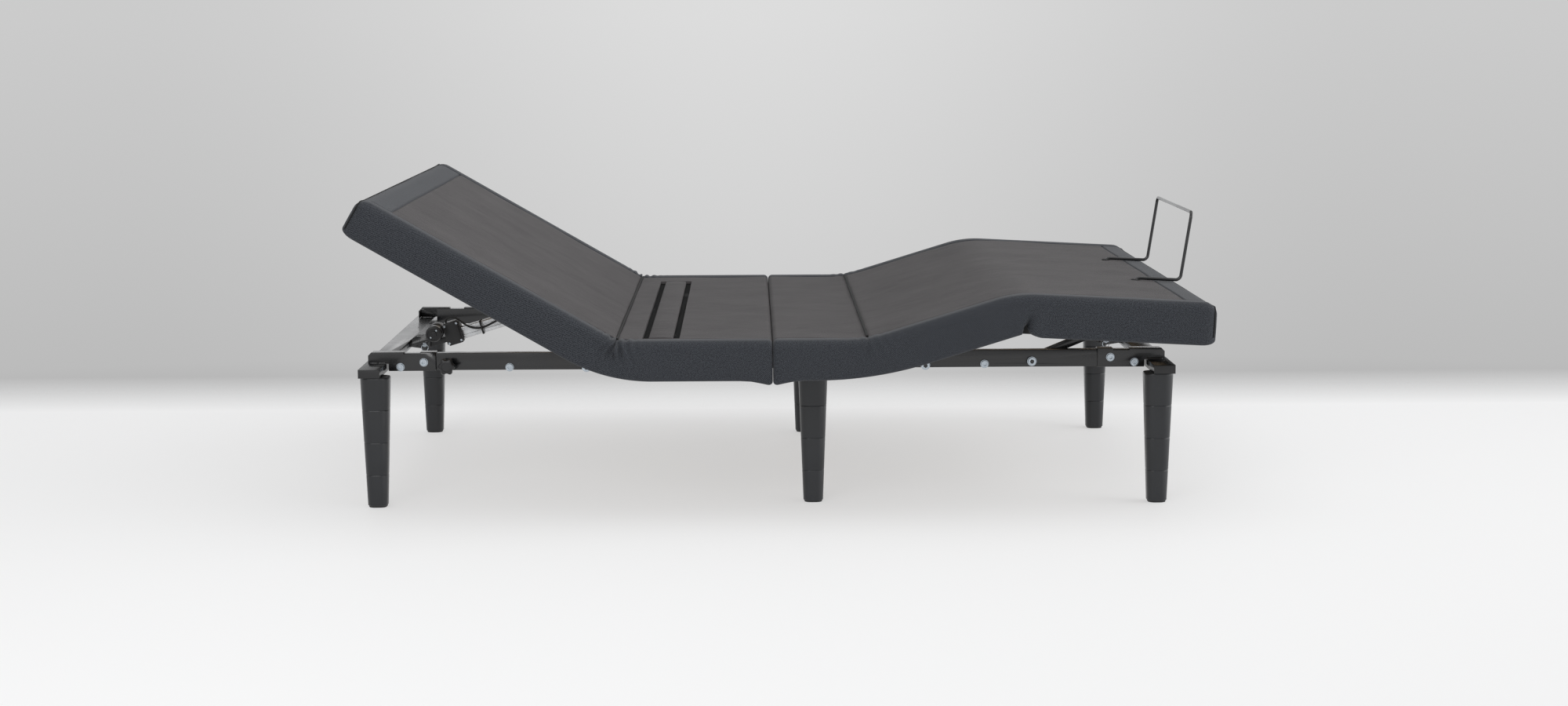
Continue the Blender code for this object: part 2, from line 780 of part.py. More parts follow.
def seat():
    """The fixed middle of the deck: two halves that meet at the split."""
    head_x, thigh_x = HEAD_HINGE, THIGH_HINGE
    left_end, right_end = SPLIT - SPLIT_GAP, SPLIT + SPLIT_GAP
    head_outline = [(head_x + x, z) for x, z in valley_end(HEAD_LIMIT)]
    head_outline += square_end(left_end)
    thigh_outline = [(thigh_x - x, z) for x, z in valley_end(THIGH_LIMIT)]
    thigh_outline += square_end(right_end)
    slot_window = box(DECK, SEAT_SLOT_LOW, SEAT_SLOT_HIGH)
    tray(DECK, "seat_head_pad", head_outline, (-0.5, left_end + 0.1), [slot_window])
    tray(DECK, "seat_foot_pad", thigh_outline, (right_end - 0.1, 0.5))
    board(DECK, "seat_head_board", head_x + HINGE_GAP, left_end - 0.001)
    board(DECK, "seat_foot_board", right_end + 0.001, thigh_x - HINGE_GAP)
    slat = box(DECK, SLAT_LOW, SLAT_HIGH, bevel=0.002)
    finish(slat, "seat_slat", FABRIC, 0.9)
    for side, word in SIDES:
        start, end = head_x + TUBE_FROM_HINGE, thigh_x - TUBE_FROM_HINGE
        tube = frame_tube(DECK, start, end, side, RAIL_TOP + GAP)
        add(tube, hinge_lug(HEAD_AXIS_FLAT, 1, side, outer=False, pinned=True))
        add(tube, hinge_lug(THIGH_AXIS_FLAT, -1, side, outer=False, pinned=True))
        finish(tube, word + "_seat_frame_tube", BLACK_STEEL, 0.35, 0.3)


# ------------------------------------------------------------------ lifts


def lift_arm(owner, lift, name):
    """A torque tube on two pivot bolts, with two roller arms and a slotted lever."""
    inner = 0.430
    tube = cylinder(owner, (0, -inner, 0), (0, inner, 0), TORQUE_RADIUS, 24)
    head_start, head_end = RAIL_OUTSIDE + GAP, RAIL_OUTSIDE + 0.007
    for side, _ in SIDES:
        bolt_ends = (0, side * (inner - 0.002), 0), (0, side * head_end, 0)
        add(tube, cylinder(owner, *bolt_ends, PIN_RADIUS, 16))
        washer = (0, side * head_start, 0), (0, side * head_end, 0)
        add(tube, cylinder(owner, *washer, PIVOT_HEAD, 6))
    pivot, centre = lift["tube"], roller_centre(lift)
    reach = (centre[0] - pivot[0], centre[1] - pivot[1])
    for side, _ in SIDES:
        span = both_sides(ARM_Y - ARM_THICK, ARM_Y, side)
        add(tube, plate(owner, capsule((0, 0), reach, 0.012), *span))
        axle = [(reach[0], side * y, reach[1]) for y in (ARM_Y - 0.002, arm_outside())]
        add(tube, cylinder(owner, *axle, 0.005, 12))
    angle = lift["lever_angle"]
    rim = SLOT_HALF_WIDTH + LEVER_RIM
    slot = [rotated((distance, 0), (0, 0), angle) for distance in lift["slot"]]
    hole = capsule(*slot, SLOT_HALF_WIDTH)
    add(tube, plate(owner, capsule((0, 0), slot[1], rim), -0.004, 0.004, hole))
    finish(tube, name, BLACK_STEEL, 0.35, 0.3)


def arm_outside():
    return ARM_Y + 0.004 + ROLLER_WIDTH


def rollers(owner, lift, prefix, way):
    """Two nylon rollers on the arms' stub axles."""
    inside, outside = ARM_Y + 0.003, ARM_Y + 0.003 + ROLLER_WIDTH
    for side, word in SIDES:
        span = both_sides(inside, outside, way * side)
        wheel = circle((0, 0), lift["roller"], 24)
        wheel = plate(owner, wheel, *span, circle((0, 0), PIN_HOLE, 12))
        finish(wheel, f"{word}_{prefix}_roller", PLASTIC, 0.4)


def actuator(owner, prefix):
    """The fixed half of a linear actuator: gearbox with tail, motor and sleeve."""
    u, w = MOTOR_AT
    gear = box(owner, (GEAR_START, -0.026, -0.022), (GEAR_END, 0.026, 0.036), bevel=0.004)
    tail = [(GEAR_START + 0.006, -0.011), (GEAR_START + 0.006, 0.002), (0.014, 0.002)]
    tail += arc((0, 0), 0.011, 30, 270, 12)
    add(gear, plate(owner, tail, -0.012, 0.012, circle((0, 0), PIN_HOLE)))
    finish(gear, prefix + "_gearbox", PLASTIC, 0.4)
    profile = [(-0.062, 0.017), (-0.060, 0.019), (-0.051, 0.019), (-0.051, 0.018)]
    profile += [(0.042, 0.018), (0.045, 0.015)]
    motor = turned(owner, profile[::-1], (u, w))
    finish(motor, prefix + "_motor", ALUMINIUM, 0.3, 0.9)
    half_y, half_z = SLEEVE_HALF
    start = GEAR_END + GAP
    sleeve = box(owner, (start, -half_y, -half_z), (SLEEVE_END, half_y, half_z), 0.002)
    bore = (start + 0.004, 0, 0), (SLEEVE_END + 0.01, 0, 0)
    cut(sleeve, cylinder(owner, *bore, ROD_RADIUS + 0.0012))
    finish(sleeve, prefix + "_sleeve", ALUMINIUM, 0.35, 0.9)


def actuator_rod(owner, length, name):
    """The sliding rod and its fork; the owner's origin is the fork pin's centre."""
    rod = cylinder(owner, (-length, 0, 0), (-FORK_BACK + 0.004, 0, 0), ROD_RADIUS)
    half = 0.0115
    add(rod, box(owner, (-FORK_BACK, -half, -half), (-FORK_THROAT, half, half)))
    for side, _ in SIDES:
        span = both_sides(0.0048, 0.011, side)
        add(rod, plate(owner, capsule((-FORK_THROAT - 0.004, 0), (0, 0), 0.010), *span))
    add(rod, cylinder(owner, (0, -0.014, 0), (0, 0.014, 0), 0.006, 16))
    finish(rod, name, ZINC, 0.3, 0.9)


def motor_cable(owner):
    """The motor's lead: over the gearbox, down the sleeve's side to its coupler."""
    side = -0.0226
    route = [
        (0.066, -0.008, 0.0363),
        (0.067, -0.009, 0.042),
        (0.074, -0.013, 0.0462),
        (0.086, -0.019, 0.0452),
        (0.098, side, 0.038),
        (0.110, side, 0.022),
        (0.124, side, 0.008),
        (0.142, side, 0.000),
        (0.160, side, -0.001),
        (0.182, side, 0.003),
        (0.204, side, 0.007),
        (0.2257, side, 0.009),
    ]
    cable = wire(owner, smooth_route(route), 0.0024)
    finish(cable, "head_motor_cable", PLASTIC, 0.5)
    low, high = (0.226, -0.031, 0.003), (0.252, -SLEEVE_HALF[0] - GAP, 0.015)
    finish(box(owner, low, high, bevel=0.0015), "cable_coupler", PLASTIC, 0.45)
    half_y, half_z = SLEEVE_HALF[0] + GAP, SLEEVE_HALF[1] + GAP
    thick = 0.0012
    inner_low = (0.140, side - 0.0028, -half_z)
    inner_high = (0.160, half_y, half_z)
    outer_low = (0.148, inner_low[1] - thick, -half_z - thick)
    outer_high = (0.152, half_y + thick, half_z + thick)
    band = cut(box(owner, outer_low, outer_high), box(owner, inner_low, inner_high))
    finish(band, "cable_tie", PLASTIC, 0.4)


def smooth_route(points, steps=3):
    """A smooth curve through every point, as a finer list of points."""
    points = [Vector(p) for p in points]
    padded = [2 * points[0] - points[1], *points, 2 * points[-1] - points[-2]]
    route = []
    for a, b, c, d in zip(padded, padded[1:], padded[2:], padded[3:]):
        for i in range(steps):
            t = i / steps
            pull = (c - a) * t + (2 * a - 5 * b + 4 * c - d) * t**2
            route.append(b + (pull + (3 * b - a - 3 * c + d) * t**3) / 2)
    return route + [points[-1]]


def foot_link(owner, name, side):
    """A bar from a rail's pivot up to the foot section, with both its pins."""
    bar = capsule((0, 0), (LINK_LENGTH, 0), 0.010)
    link = plate(owner, bar, *both_sides(LINK_INSIDE, LINK_OUTSIDE, side))
    start, head = LINK_OUTSIDE - 0.002, RAIL_OUTSIDE + GAP
    end = RAIL_OUTSIDE + 0.007
    add(link, cylinder(owner, (0, side * start, 0), (0, side * end, 0), PIN_RADIUS, 16))
    add(link, cylinder(owner, (0, side * head, 0), (0, side * end, 0), PIVOT_HEAD, 6))
    pin = [(LINK_LENGTH, side * y, 0) for y in (start, TUBE_INSIDE + 0.006)]
    add(link, cylinder(owner, *pin, PIN_RADIUS, 16))
    finish(link, name, BLACK_STEEL, 0.35, 0.3)


def lift(prefix, numbers, faces_head):
    """One lift: arm with rollers, actuator and rod, on either side of the seat."""
    way = -1 if faces_head else 1
    pivot = (way * numbers["tube"][0], 0, numbers["tube"][1])
    arm = new_owner(prefix + "_lift_axis", pivot, 0, faces_head, BASE)
    lift_arm(arm, numbers, prefix + "_torque_tube")
    centre = roller_centre(numbers)
    offset = (centre[0] - numbers["tube"][0], 0, centre[1] - numbers["tube"][1])
    axle = new_owner(prefix + "_roller_axis", offset, parent=arm)
    rollers(axle, numbers, prefix, way)
    pin = lever_pin(numbers)
    run, rise = CLEVIS[0] - pin[0], pin[1] - CLEVIS[1]
    tilt = math.degrees(math.atan2(rise, run))
    clevis = (way * CLEVIS[0], 0, CLEVIS[1])
    swing = new_owner(prefix + "_actuator_axis", clevis, tilt, not faces_head, BASE)
    actuator(swing, prefix)
    slide = new_owner(prefix + "_rod_axis", (math.hypot(run, rise), 0, 0), parent=swing)
    actuator_rod(slide, numbers["rod"], prefix + "_actuator_rod")
    return swing


# ------------------------------------------------------------------- build

clear_scene()
PARTS = new_collection("adjustable_bed_base")
HELPERS = new_collection("cutters", hidden=True)
SIDES = ((1, "left"), (-1, "right"))

BASE = new_owner("base_frame", (-REST_MIDDLE_X, 0, 0))
DECK = new_owner("deck_level", (0, 0, HINGE_Z), parent=BASE)
HEAD_AXIS_FLAT = new_owner("head_hinge_axis", (HEAD_HINGE, 0, 0), parent=DECK)
THIGH_AXIS_FLAT = new_owner("thigh_hinge_axis", (THIGH_HINGE, 0, 0), parent=DECK)
HEAD = new_owner("head_section", (HEAD_HINGE, 0, 0), HEAD_REST, True, DECK)
THIGH = new_owner("thigh_section", (THIGH_HINGE, 0, 0), THIGH_REST, False, DECK)
FOOT_AXIS_FLAT = new_owner("knee_axis", (THIGH_LENGTH, 0, 0), parent=THIGH)
FOOT = new_owner("foot_section", (THIGH_LENGTH, 0, 0), -KNEE_REST, False, THIGH)

for end_sign, end_word in ((-1, "head"), (1, "foot")):
    end_tube = cross_tube(end_word + "_cross_tube", end_sign * CROSS_X)
    add_clevis(end_tube, end_sign)
    for side_sign, side_word in SIDES:
        corner = f"{end_word}_{side_word}"
        leg(corner + "_leg", end_sign * LEG_X, side_sign * LEG_Y)
        corner_bracket(corner + "_bracket", end_sign, side_sign)
cross_tube("middle_cross_tube", MIDDLE_X)
for side_sign, side_word in SIDES:
    leg(f"middle_{side_word}_leg", MIDDLE_X, side_sign * MIDDLE_LEG_Y)
    side_rail(side_word + "_side_rail", side_sign)
    knob(side_word + "_hand_knob", side_sign)
control_box()

seat()
head_section()
thigh_section()
foot_section()

head_swing = lift("head", HEAD_LIFT, faces_head=True)
motor_cable(head_swing)
lift("thigh", THIGH_LIFT, faces_head=False)
link_place = (LINK_PIVOT[0], 0, LINK_PIVOT[1])
LINK_AXIS = new_owner("foot_link_axis", link_place, LINK_ANGLE, False, BASE)
for side_sign, side_word in SIDES:
    foot_link(LINK_AXIS, side_word + "_foot_link", side_sign)
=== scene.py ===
"""Looks of the adjustable bed base: upholstery, hardware and finishes round its CAD frame.

Metres, +Z up, head end towards -X. The covers are shaped on the flat bed and
then bent to the rest pose, so a cover's own x and z are those of the flat deck.
"""

import json
import math
import random

import bmesh
import bpy
import numpy as np
from mathutils import Matrix, Vector


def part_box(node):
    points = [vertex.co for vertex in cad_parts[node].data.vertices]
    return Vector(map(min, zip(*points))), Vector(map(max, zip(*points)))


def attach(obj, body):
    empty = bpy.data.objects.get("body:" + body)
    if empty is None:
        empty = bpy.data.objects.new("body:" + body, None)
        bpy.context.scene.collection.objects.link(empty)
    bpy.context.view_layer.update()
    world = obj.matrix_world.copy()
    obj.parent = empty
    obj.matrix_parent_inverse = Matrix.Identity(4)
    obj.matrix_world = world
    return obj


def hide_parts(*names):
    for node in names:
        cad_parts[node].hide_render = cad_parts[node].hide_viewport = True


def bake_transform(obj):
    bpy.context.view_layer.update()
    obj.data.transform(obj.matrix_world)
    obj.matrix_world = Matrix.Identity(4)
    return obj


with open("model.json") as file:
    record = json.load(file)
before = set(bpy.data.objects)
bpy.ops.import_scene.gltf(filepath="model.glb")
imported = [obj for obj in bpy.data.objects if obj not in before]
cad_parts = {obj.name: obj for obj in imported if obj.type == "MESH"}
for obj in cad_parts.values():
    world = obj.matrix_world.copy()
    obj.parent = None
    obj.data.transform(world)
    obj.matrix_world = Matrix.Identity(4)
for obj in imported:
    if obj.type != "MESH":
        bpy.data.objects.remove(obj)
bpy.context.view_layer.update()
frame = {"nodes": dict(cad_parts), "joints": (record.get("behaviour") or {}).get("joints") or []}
random.seed(7)

JOINTS = {joint["name"]: joint for joint in frame["joints"]}
NODES = frame["nodes"]
SIDES = ((1, "left"), (-1, "right"))

# Hinges and rest angles of the deck
HEAD_X, _, HINGE_Z = JOINTS["head_lift"]["pos_m"]
THIGH_X = JOINTS["thigh_lift"]["pos_m"][0]
KNEE = Vector(JOINTS["knee_fold"]["pos_m"])
HEAD_REST = math.radians(-JOINTS["head_lift"]["range_deg"][0])
THIGH_REST = math.radians(-JOINTS["thigh_lift"]["range_deg"][0])
KNEE_REST = math.radians(20)
FOOT_DROP = KNEE_REST - THIGH_REST

# Lengths along the flat deck: the knee, the ends and the places where the covers meet
THIGH_LENGTH, HEAD_LENGTH, FOOT_LENGTH = 0.347, 0.658, 0.449
KNEE_X = THIGH_X + THIGH_LENGTH
HEAD_END = HEAD_X - HEAD_LENGTH
FOOT_END = KNEE_X + FOOT_LENGTH
GAP_REACH = 0.0018
MID_GAP = (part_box("seat_head_pad")[1].x + GAP_REACH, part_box("seat_foot_pad")[0].x - GAP_REACH)
SPLIT_X = THIGH_X + 0.17
HEAD_BAND = HEAD_END + 0.074
FOOT_BAND = FOOT_END - 0.066
KNEE_TUCK_X = KNEE_X + 0.018
STRAIGHT_THIGH_X = 0.35  # past the thigh hinge's curve and before the knee's

# Cover section: heights are from the hinge line
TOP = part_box("seat_head_pad")[1].z - HINGE_Z
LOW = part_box("seat_head_pad")[0].z - HINGE_Z
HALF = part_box("seat_head_pad")[1].y
WALL_Y = HALF - 0.0335
PAD_UNDER = TOP - 0.0087
BOARD_UNDER = PAD_UNDER - 0.0185
SEAM_Y = 0.702
PANEL_Y = SEAM_Y - 0.009
SEAM_DEPTH = 0.0032
RIM_PROUD = 0.0022
EDGE_ROUND = 0.020
SIDE_ROWS = 15
HEM_ROUND = 0.010
SIDE_BULGE = 0.0022
TOP_COLUMNS = 25
PIPING_RADIUS = 0.0028
END_PIPING_RADIUS = 0.0016

# Seat slot and slat
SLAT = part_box("seat_slat")
SLOT_ROOM_X, SLOT_ROOM_Y = 0.0135, 0.004
SLOT_X = (SLAT[0].x - SLOT_ROOM_X, SLAT[1].x + SLOT_ROOM_X)
SLOT_Y = (SLAT[0].y - SLOT_ROOM_Y, SLAT[1].y + SLOT_ROOM_Y)

# Outer faces that hardware stands on
RAIL_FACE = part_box("left_side_rail")[1].y
BRACKET_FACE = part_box("head_left_bracket")[1].y


# ---- materials


class Paint:
    """A Principled material whose nodes are added one by one."""

    def __init__(self, name, colour, roughness, metallic=0.0, **sockets):
        self.material = bpy.data.materials.new(name)
        self.material.use_nodes = True
        self.tree = self.material.node_tree
        self.shader = self.tree.nodes["Principled BSDF"]
        self.set("Base Color", (*colour, 1))
        self.set("Roughness", roughness)
        self.set("Metallic", metallic)
        for socket, value in sockets.items():
            self.set(socket.replace("_", " "), value)

    def set(self, socket, value):
        self.shader.inputs[socket].default_value = value

    def node(self, kind, links=(), **values):
        made = self.tree.nodes.new(kind)
        for key, value in values.items():
            if hasattr(made, key):
                setattr(made, key, value)
            else:
                made.inputs[key.replace("_", " ")].default_value = value
        for socket, source in dict(links).items():
            self.tree.links.new(source, made.inputs[socket])
        return made

    def link(self, source, socket):
        self.tree.links.new(source, self.shader.inputs[socket])

    def coordinates(self, scale, uv=False, turn=0.0):
        """Object or UV coordinates in metres, scaled on each axis."""
        source = self.node("ShaderNodeTexCoord").outputs["UV" if uv else "Object"]
        mapping = self.node("ShaderNodeMapping", {"Vector": source})
        mapping.inputs["Scale"].default_value = scale
        mapping.inputs["Rotation"].default_value = (0, 0, turn)
        return mapping.outputs["Vector"]

    def noise(self, vector, scale=1.0, detail=3.0, roughness=0.55):
        values = {"Scale": scale, "Detail": detail, "Roughness": roughness}
        return self.node("ShaderNodeTexNoise", {"Vector": vector}, **values).outputs["Fac"]

    def ramp(self, source, low, high, start=0.0, end=1.0):
        """Source between low and high, as a value from start to end."""
        values = {"From_Min": low, "From_Max": high, "To_Min": start, "To_Max": end}
        return self.node("ShaderNodeMapRange", {"Value": source}, **values).outputs["Result"]

    def tones(self, source, low, high, dark, light):
        """Links a base colour that goes from dark to light as source goes from low to high."""
        mix = self.node("ShaderNodeMix", {"Factor": self.ramp(source, low, high)}, data_type="RGBA")
        mix.inputs["A"].default_value, mix.inputs["B"].default_value = (*dark, 1), (*light, 1)
        self.link(next(out for out in mix.outputs if out.type == "RGBA"), "Base Color")

    def math(self, operation, first, second):
        made = self.node("ShaderNodeMath", operation=operation)
        for socket, value in zip(made.inputs, (first, second)):
            if isinstance(value, (int, float)):
                socket.default_value = value
            else:
                self.tree.links.new(value, socket)
        return made.outputs[0]

    def bump(self, height, distance, strength=1.0):
        made = self.node("ShaderNodeBump", {"Height": height}, Distance=distance, Strength=strength)
        self.link(made.outputs["Normal"], "Normal")


def fabric_top():
    """Smooth woven cloth with fine streaks along the bed."""
    paint = Paint("woven_top_cloth", (0.05, 0.049, 0.049), 0.88, Sheen_Weight=0.06, Specular_IOR_Level=0.2)
    streaks = paint.noise(paint.coordinates((16, 330, 1), uv=True), 1.0, 4.0)
    patches = paint.noise(paint.coordinates((5, 8, 1), uv=True), 1.0, 2.0)
    both = paint.math("ADD", paint.math("MULTIPLY", streaks, 0.7), paint.math("MULTIPLY", patches, 0.3))
    paint.tones(both, 0.34, 0.66, (0.0350, 0.0318, 0.0328), (0.0750, 0.0690, 0.0700))
    threads = {"Vector": paint.coordinates((1, 1, 1), uv=True)}
    warp = paint.node("ShaderNodeTexWave", threads, bands_direction="X", Scale=210.0)
    weft = paint.node("ShaderNodeTexWave", threads, bands_direction="Y", Scale=210.0)
    weave = paint.math("MULTIPLY", warp.outputs["Fac"], weft.outputs["Fac"])
    height = paint.math("ADD", paint.math("MULTIPLY", weave, 0.5), streaks)
    paint.bump(height, 0.0007, 0.55)
    return paint.material


def fabric_twill():
    """Charcoal diagonal twill, heather mixed."""
    shade = (0.025, 0.027, 0.030)
    paint = Paint("twill_border_cloth", shade, 0.9, Sheen_Weight=0.09, Specular_IOR_Level=0.2)
    threads = {"Vector": paint.coordinates((1, 1, 1), uv=True)}
    values = {"Scale": 165.0, "Distortion": 2.2, "Detail": 2.0, "Detail_Scale": 3.0}
    diagonal = paint.node("ShaderNodeTexWave", threads, bands_direction="DIAGONAL", **values)
    heather = paint.noise(paint.coordinates((380, 380, 1), uv=True), 1.0, 2.5)
    yarns = paint.math("MULTIPLY", diagonal.outputs["Fac"], 0.30)
    both = paint.math("ADD", yarns, paint.math("MULTIPLY", heather, 0.75))
    paint.tones(both, 0.34, 0.72, (0.008, 0.0092, 0.0120), (0.058, 0.0628, 0.0722))
    paint.bump(both, 0.0007, 0.6)
    return paint.material


def cloth_black(name, roughness=0.85, shade=0.012):
    """Matt black cloth with a fine nap."""
    paint = Paint(name, (shade, shade, shade * 1.08), roughness, Specular_IOR_Level=0.2)
    fibres = paint.noise(paint.coordinates((700, 700, 700)), 1.0, 3.0)
    paint.tones(fibres, 0.3, 0.7, (shade * 0.6,) * 3, (shade * 1.7,) * 3)
    paint.bump(fibres, 0.0006, 0.6)
    return paint.material


def coated_steel():
    """Gloss black powder coat with its fine orange peel."""
    paint = Paint("black_powder_coat", (0.006, 0.0061, 0.0068), 0.26, Coat_Weight=0.3, Coat_Roughness=0.12)
    peel = paint.noise(paint.coordinates((260, 260, 260)), 1.0, 2.0)
    cloud = paint.noise(paint.coordinates((7, 7, 7)), 1.0, 3.0)
    paint.link(paint.ramp(cloud, 0.3, 0.7, 0.21, 0.34), "Roughness")
    paint.tones(cloud, 0.35, 0.7, (0.004, 0.0041, 0.0049), (0.0085, 0.0087, 0.0098))
    paint.bump(peel, 0.0004, 0.25)
    return paint.material


def moulded(name, shade, roughness, grain=900):
    """Moulded plastic with a fine grain and slight mottling."""
    paint = Paint(name, shade, roughness)
    fine = paint.noise(paint.coordinates((grain,) * 3), 1.0, 2.0)
    cloud = paint.noise(paint.coordinates((14, 14, 14)), 1.0, 3.0)
    paint.tones(cloud, 0.3, 0.7, [c * 0.85 for c in shade], [c * 1.2 for c in shade])
    paint.link(paint.ramp(cloud, 0.3, 0.7, roughness - 0.05, roughness + 0.06), "Roughness")
    paint.bump(fine, 0.0003, 0.35)
    return paint.material


def plated(name, shade, roughness, brushed=(40, 900, 900)):
    """Bare or plated metal, its grain drawn out along one axis."""
    paint = Paint(name, shade, roughness, 1.0)
    grain = paint.noise(paint.coordinates(brushed), 1.0, 3.0)
    cloud = paint.noise(paint.coordinates((60, 60, 60)), 1.0, 2.0)
    paint.tones(cloud, 0.3, 0.7, [c * 0.82 for c in shade], shade)
    paint.link(paint.ramp(grain, 0.3, 0.7, roughness - 0.07, roughness + 0.09), "Roughness")
    paint.bump(grain, 0.0002, 0.25)
    return paint.material


def plywood():
    """Board face, its grain drawn out across the bed."""
    paint = Paint("plywood", (0.36, 0.27, 0.18), 0.62)
    rings = paint.noise(paint.coordinates((90, 3.2, 90)), 1.0, 5.0, 0.65)
    fibres = paint.noise(paint.coordinates((900, 14, 900)), 1.0, 2.0)
    both = paint.math("ADD", paint.math("MULTIPLY", rings, 0.75), paint.math("MULTIPLY", fibres, 0.25))
    paint.tones(both, 0.36, 0.62, (0.23, 0.160, 0.098), (0.43, 0.330, 0.225))
    paint.bump(both, 0.0006, 0.4)
    return paint.material


MATERIALS = {
    "top": fabric_top(),
    "twill": fabric_twill(),
    "piping": cloth_black("black_piping", 0.7, 0.010),
    "lining": cloth_black("black_lining"),
    # The slot's lining is far darker than the other black cloth: painted shade for the deep, narrow slot.
    "slot": cloth_black("black_slot_lining", 0.95, 0.0025),
    "steel": coated_steel(),
    "leg": moulded("leg_plastic", (0.010, 0.0112, 0.0135), 0.34, 1100),
    "plastic": moulded("black_plastic", (0.008, 0.008, 0.009), 0.40),
    "rubber": moulded("black_rubber", (0.016, 0.016, 0.016), 0.75, 600),
    "zinc": plated("zinc_plate", (0.50, 0.55, 0.60), 0.24, (300, 300, 300)),
    "aluminium": plated("aluminium", (0.66, 0.67, 0.68), 0.30),
    "nylon": moulded("nylon", (0.030, 0.030, 0.031), 0.5),
    "wood": plywood(),
}


# ---- pieces


def in_scene(name, data):
    """A new object in the scene."""
    made = bpy.data.objects.new(name, data)
    bpy.context.scene.collection.objects.link(made)
    return made


def piece_of(mesh, name, body, slot, *materials):
    """A new visible piece, which rides on a CAD body if one is given."""
    mesh.name = name
    made = in_scene(name, mesh)
    for material in materials:
        mesh.materials.append(MATERIALS[material])
    if body:
        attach(made, body)
    return made


def smooth(mesh, degrees=38):
    mesh.shade_smooth()
    mesh.set_sharp_from_angle(angle=math.radians(degrees))
    return mesh


def mesh_from(shape):
    """The mesh of a bmesh, its normals facing out."""
    mesh = bpy.data.meshes.new("piece")
    bmesh.ops.recalc_face_normals(shape, faces=shape.faces)
    shape.to_mesh(mesh)
    shape.free()
    return smooth(mesh)


def loft(rings, matrix=None, closed=True):
    """A closed body through rings of equally many points, capped at both ends."""
    shape = bmesh.new()
    rows = [[shape.verts.new(point) for point in ring] for ring in rings]
    count = len(rows[0])
    for lower, upper in zip(rows, rows[1:]):
        for i in range(count):
            j = (i + 1) % count
            shape.faces.new((lower[i], lower[j], upper[j], upper[i]))
    if closed:
        shape.faces.new(reversed(rows[0]))
        shape.faces.new(rows[-1])
    if matrix:
        shape.transform(matrix)
    return mesh_from(shape)


def circle_points(radius, height, sides=32, lobes=0, lobe=0.0):
    """A ring about +Z, its radius rippled into lobes of height lobe."""
    points = []
    for i in range(sides):
        angle = 2 * math.pi * i / sides
        reach = radius + lobe * math.cos(lobes * angle)
        points.append((reach * math.cos(angle), reach * math.sin(angle), height))
    return points


def hexagon_points(radius, height, sides=24):
    """A hexagonal ring about +Z, radius at its corners."""
    points = []
    for i in range(sides):
        angle = 2 * math.pi * i / sides
        within = (angle % (math.pi / 3)) - math.pi / 6
        reach = radius * math.cos(math.pi / 6) / math.cos(within)
        points.append((reach * math.cos(angle), reach * math.sin(angle), height))
    return points


def turned(profile, matrix, sides=32):
    """A closed turned body about +Z from (radius, height) pairs."""
    return loft([circle_points(radius, height, sides) for radius, height in profile], matrix)


def facing(place, direction):
    """A matrix whose +Z looks along direction, at place."""
    turn = Vector(direction).to_track_quat("Z", "Y").to_matrix().to_4x4()
    return Matrix.Translation(place) @ turn


def rounded_box(low, high, radius, cuts=0):
    """A box from corner to corner with rounded edges, its faces divided by cuts."""
    shape = bmesh.new()
    low, high = Vector(low), Vector(high)
    scale = Matrix.Translation((low + high) / 2) @ Matrix.Diagonal((*(high - low), 1))
    bmesh.ops.create_cube(shape, size=1, matrix=scale)
    bmesh.ops.bevel(shape, geom=shape.edges[:], offset=radius, segments=4, affect="EDGES", profile=0.5)
    if cuts:
        bmesh.ops.subdivide_edges(shape, edges=shape.edges[:], cuts=cuts, use_grid_fill=True)
    return mesh_from(shape)


def tube(name, points, radius, body, slot, material, cyclic=False, sides=4):
    """A smooth round cord or wire through points, as a mesh."""
    curve = bpy.data.curves.new(name, "CURVE")
    curve.dimensions = "3D"
    curve.bevel_depth = radius
    curve.bevel_resolution = sides
    curve.use_fill_caps = True
    spline = curve.splines.new("POLY")
    spline.points.add(len(points) - 1)
    for point, place in zip(spline.points, points):
        point.co = (*place, 1)
    spline.use_cyclic_u = cyclic
    helper = in_scene(name + "_curve", curve)
    graph = bpy.context.evaluated_depsgraph_get()
    mesh = bpy.data.meshes.new_from_object(helper.evaluated_get(graph))
    bpy.data.objects.remove(helper)
    solid = bmesh.new()
    solid.from_mesh(mesh)
    bmesh.ops.remove_doubles(solid, verts=solid.verts, dist=0.00001)
    return piece_of(mesh_from(solid), name, body, slot, material)


def plated_part(name, profile, place, direction, body, sides=16):
    """A turned zinc-plated part that stands on place and points along direction."""
    piece_of(turned(profile, facing(place, direction), sides), name, body, "zinc_steel", "zinc")


def dress(nodes, material, bevel=0.0):
    """Gives CAD nodes a finish, and softens their edges."""
    for name in nodes:
        node = NODES[name]
        weld = node.modifiers.new("weld", "WELD")
        weld.merge_threshold = 0.00002
        if bevel:
            soften = node.modifiers.new("soften", "BEVEL")
            soften.width = bevel
            soften.segments = 2
            soften.limit_method = "ANGLE"
            soften.angle_limit = math.radians(40)
        node.data.materials.clear()
        node.data.materials.append(MATERIALS[material])
        smooth(node.data)


# ---- covers


def ease(value):
    """A smooth step from 0 to 1."""
    value = np.clip(value, 0, 1)
    return value * value * (3 - 2 * value)


def bell(distance, width):
    """A smooth bump, 1 at no distance."""
    return np.exp(-((distance / width) ** 2))


def turned_about(x, z, hinge_x, angle):
    """Flat points turned about a hinge line on the deck; a positive angle raises +X."""
    along, above = x - hinge_x, z - HINGE_Z
    return (
        hinge_x + along * np.cos(angle) - above * np.sin(angle),
        HINGE_Z + along * np.sin(angle) + above * np.cos(angle),
    )


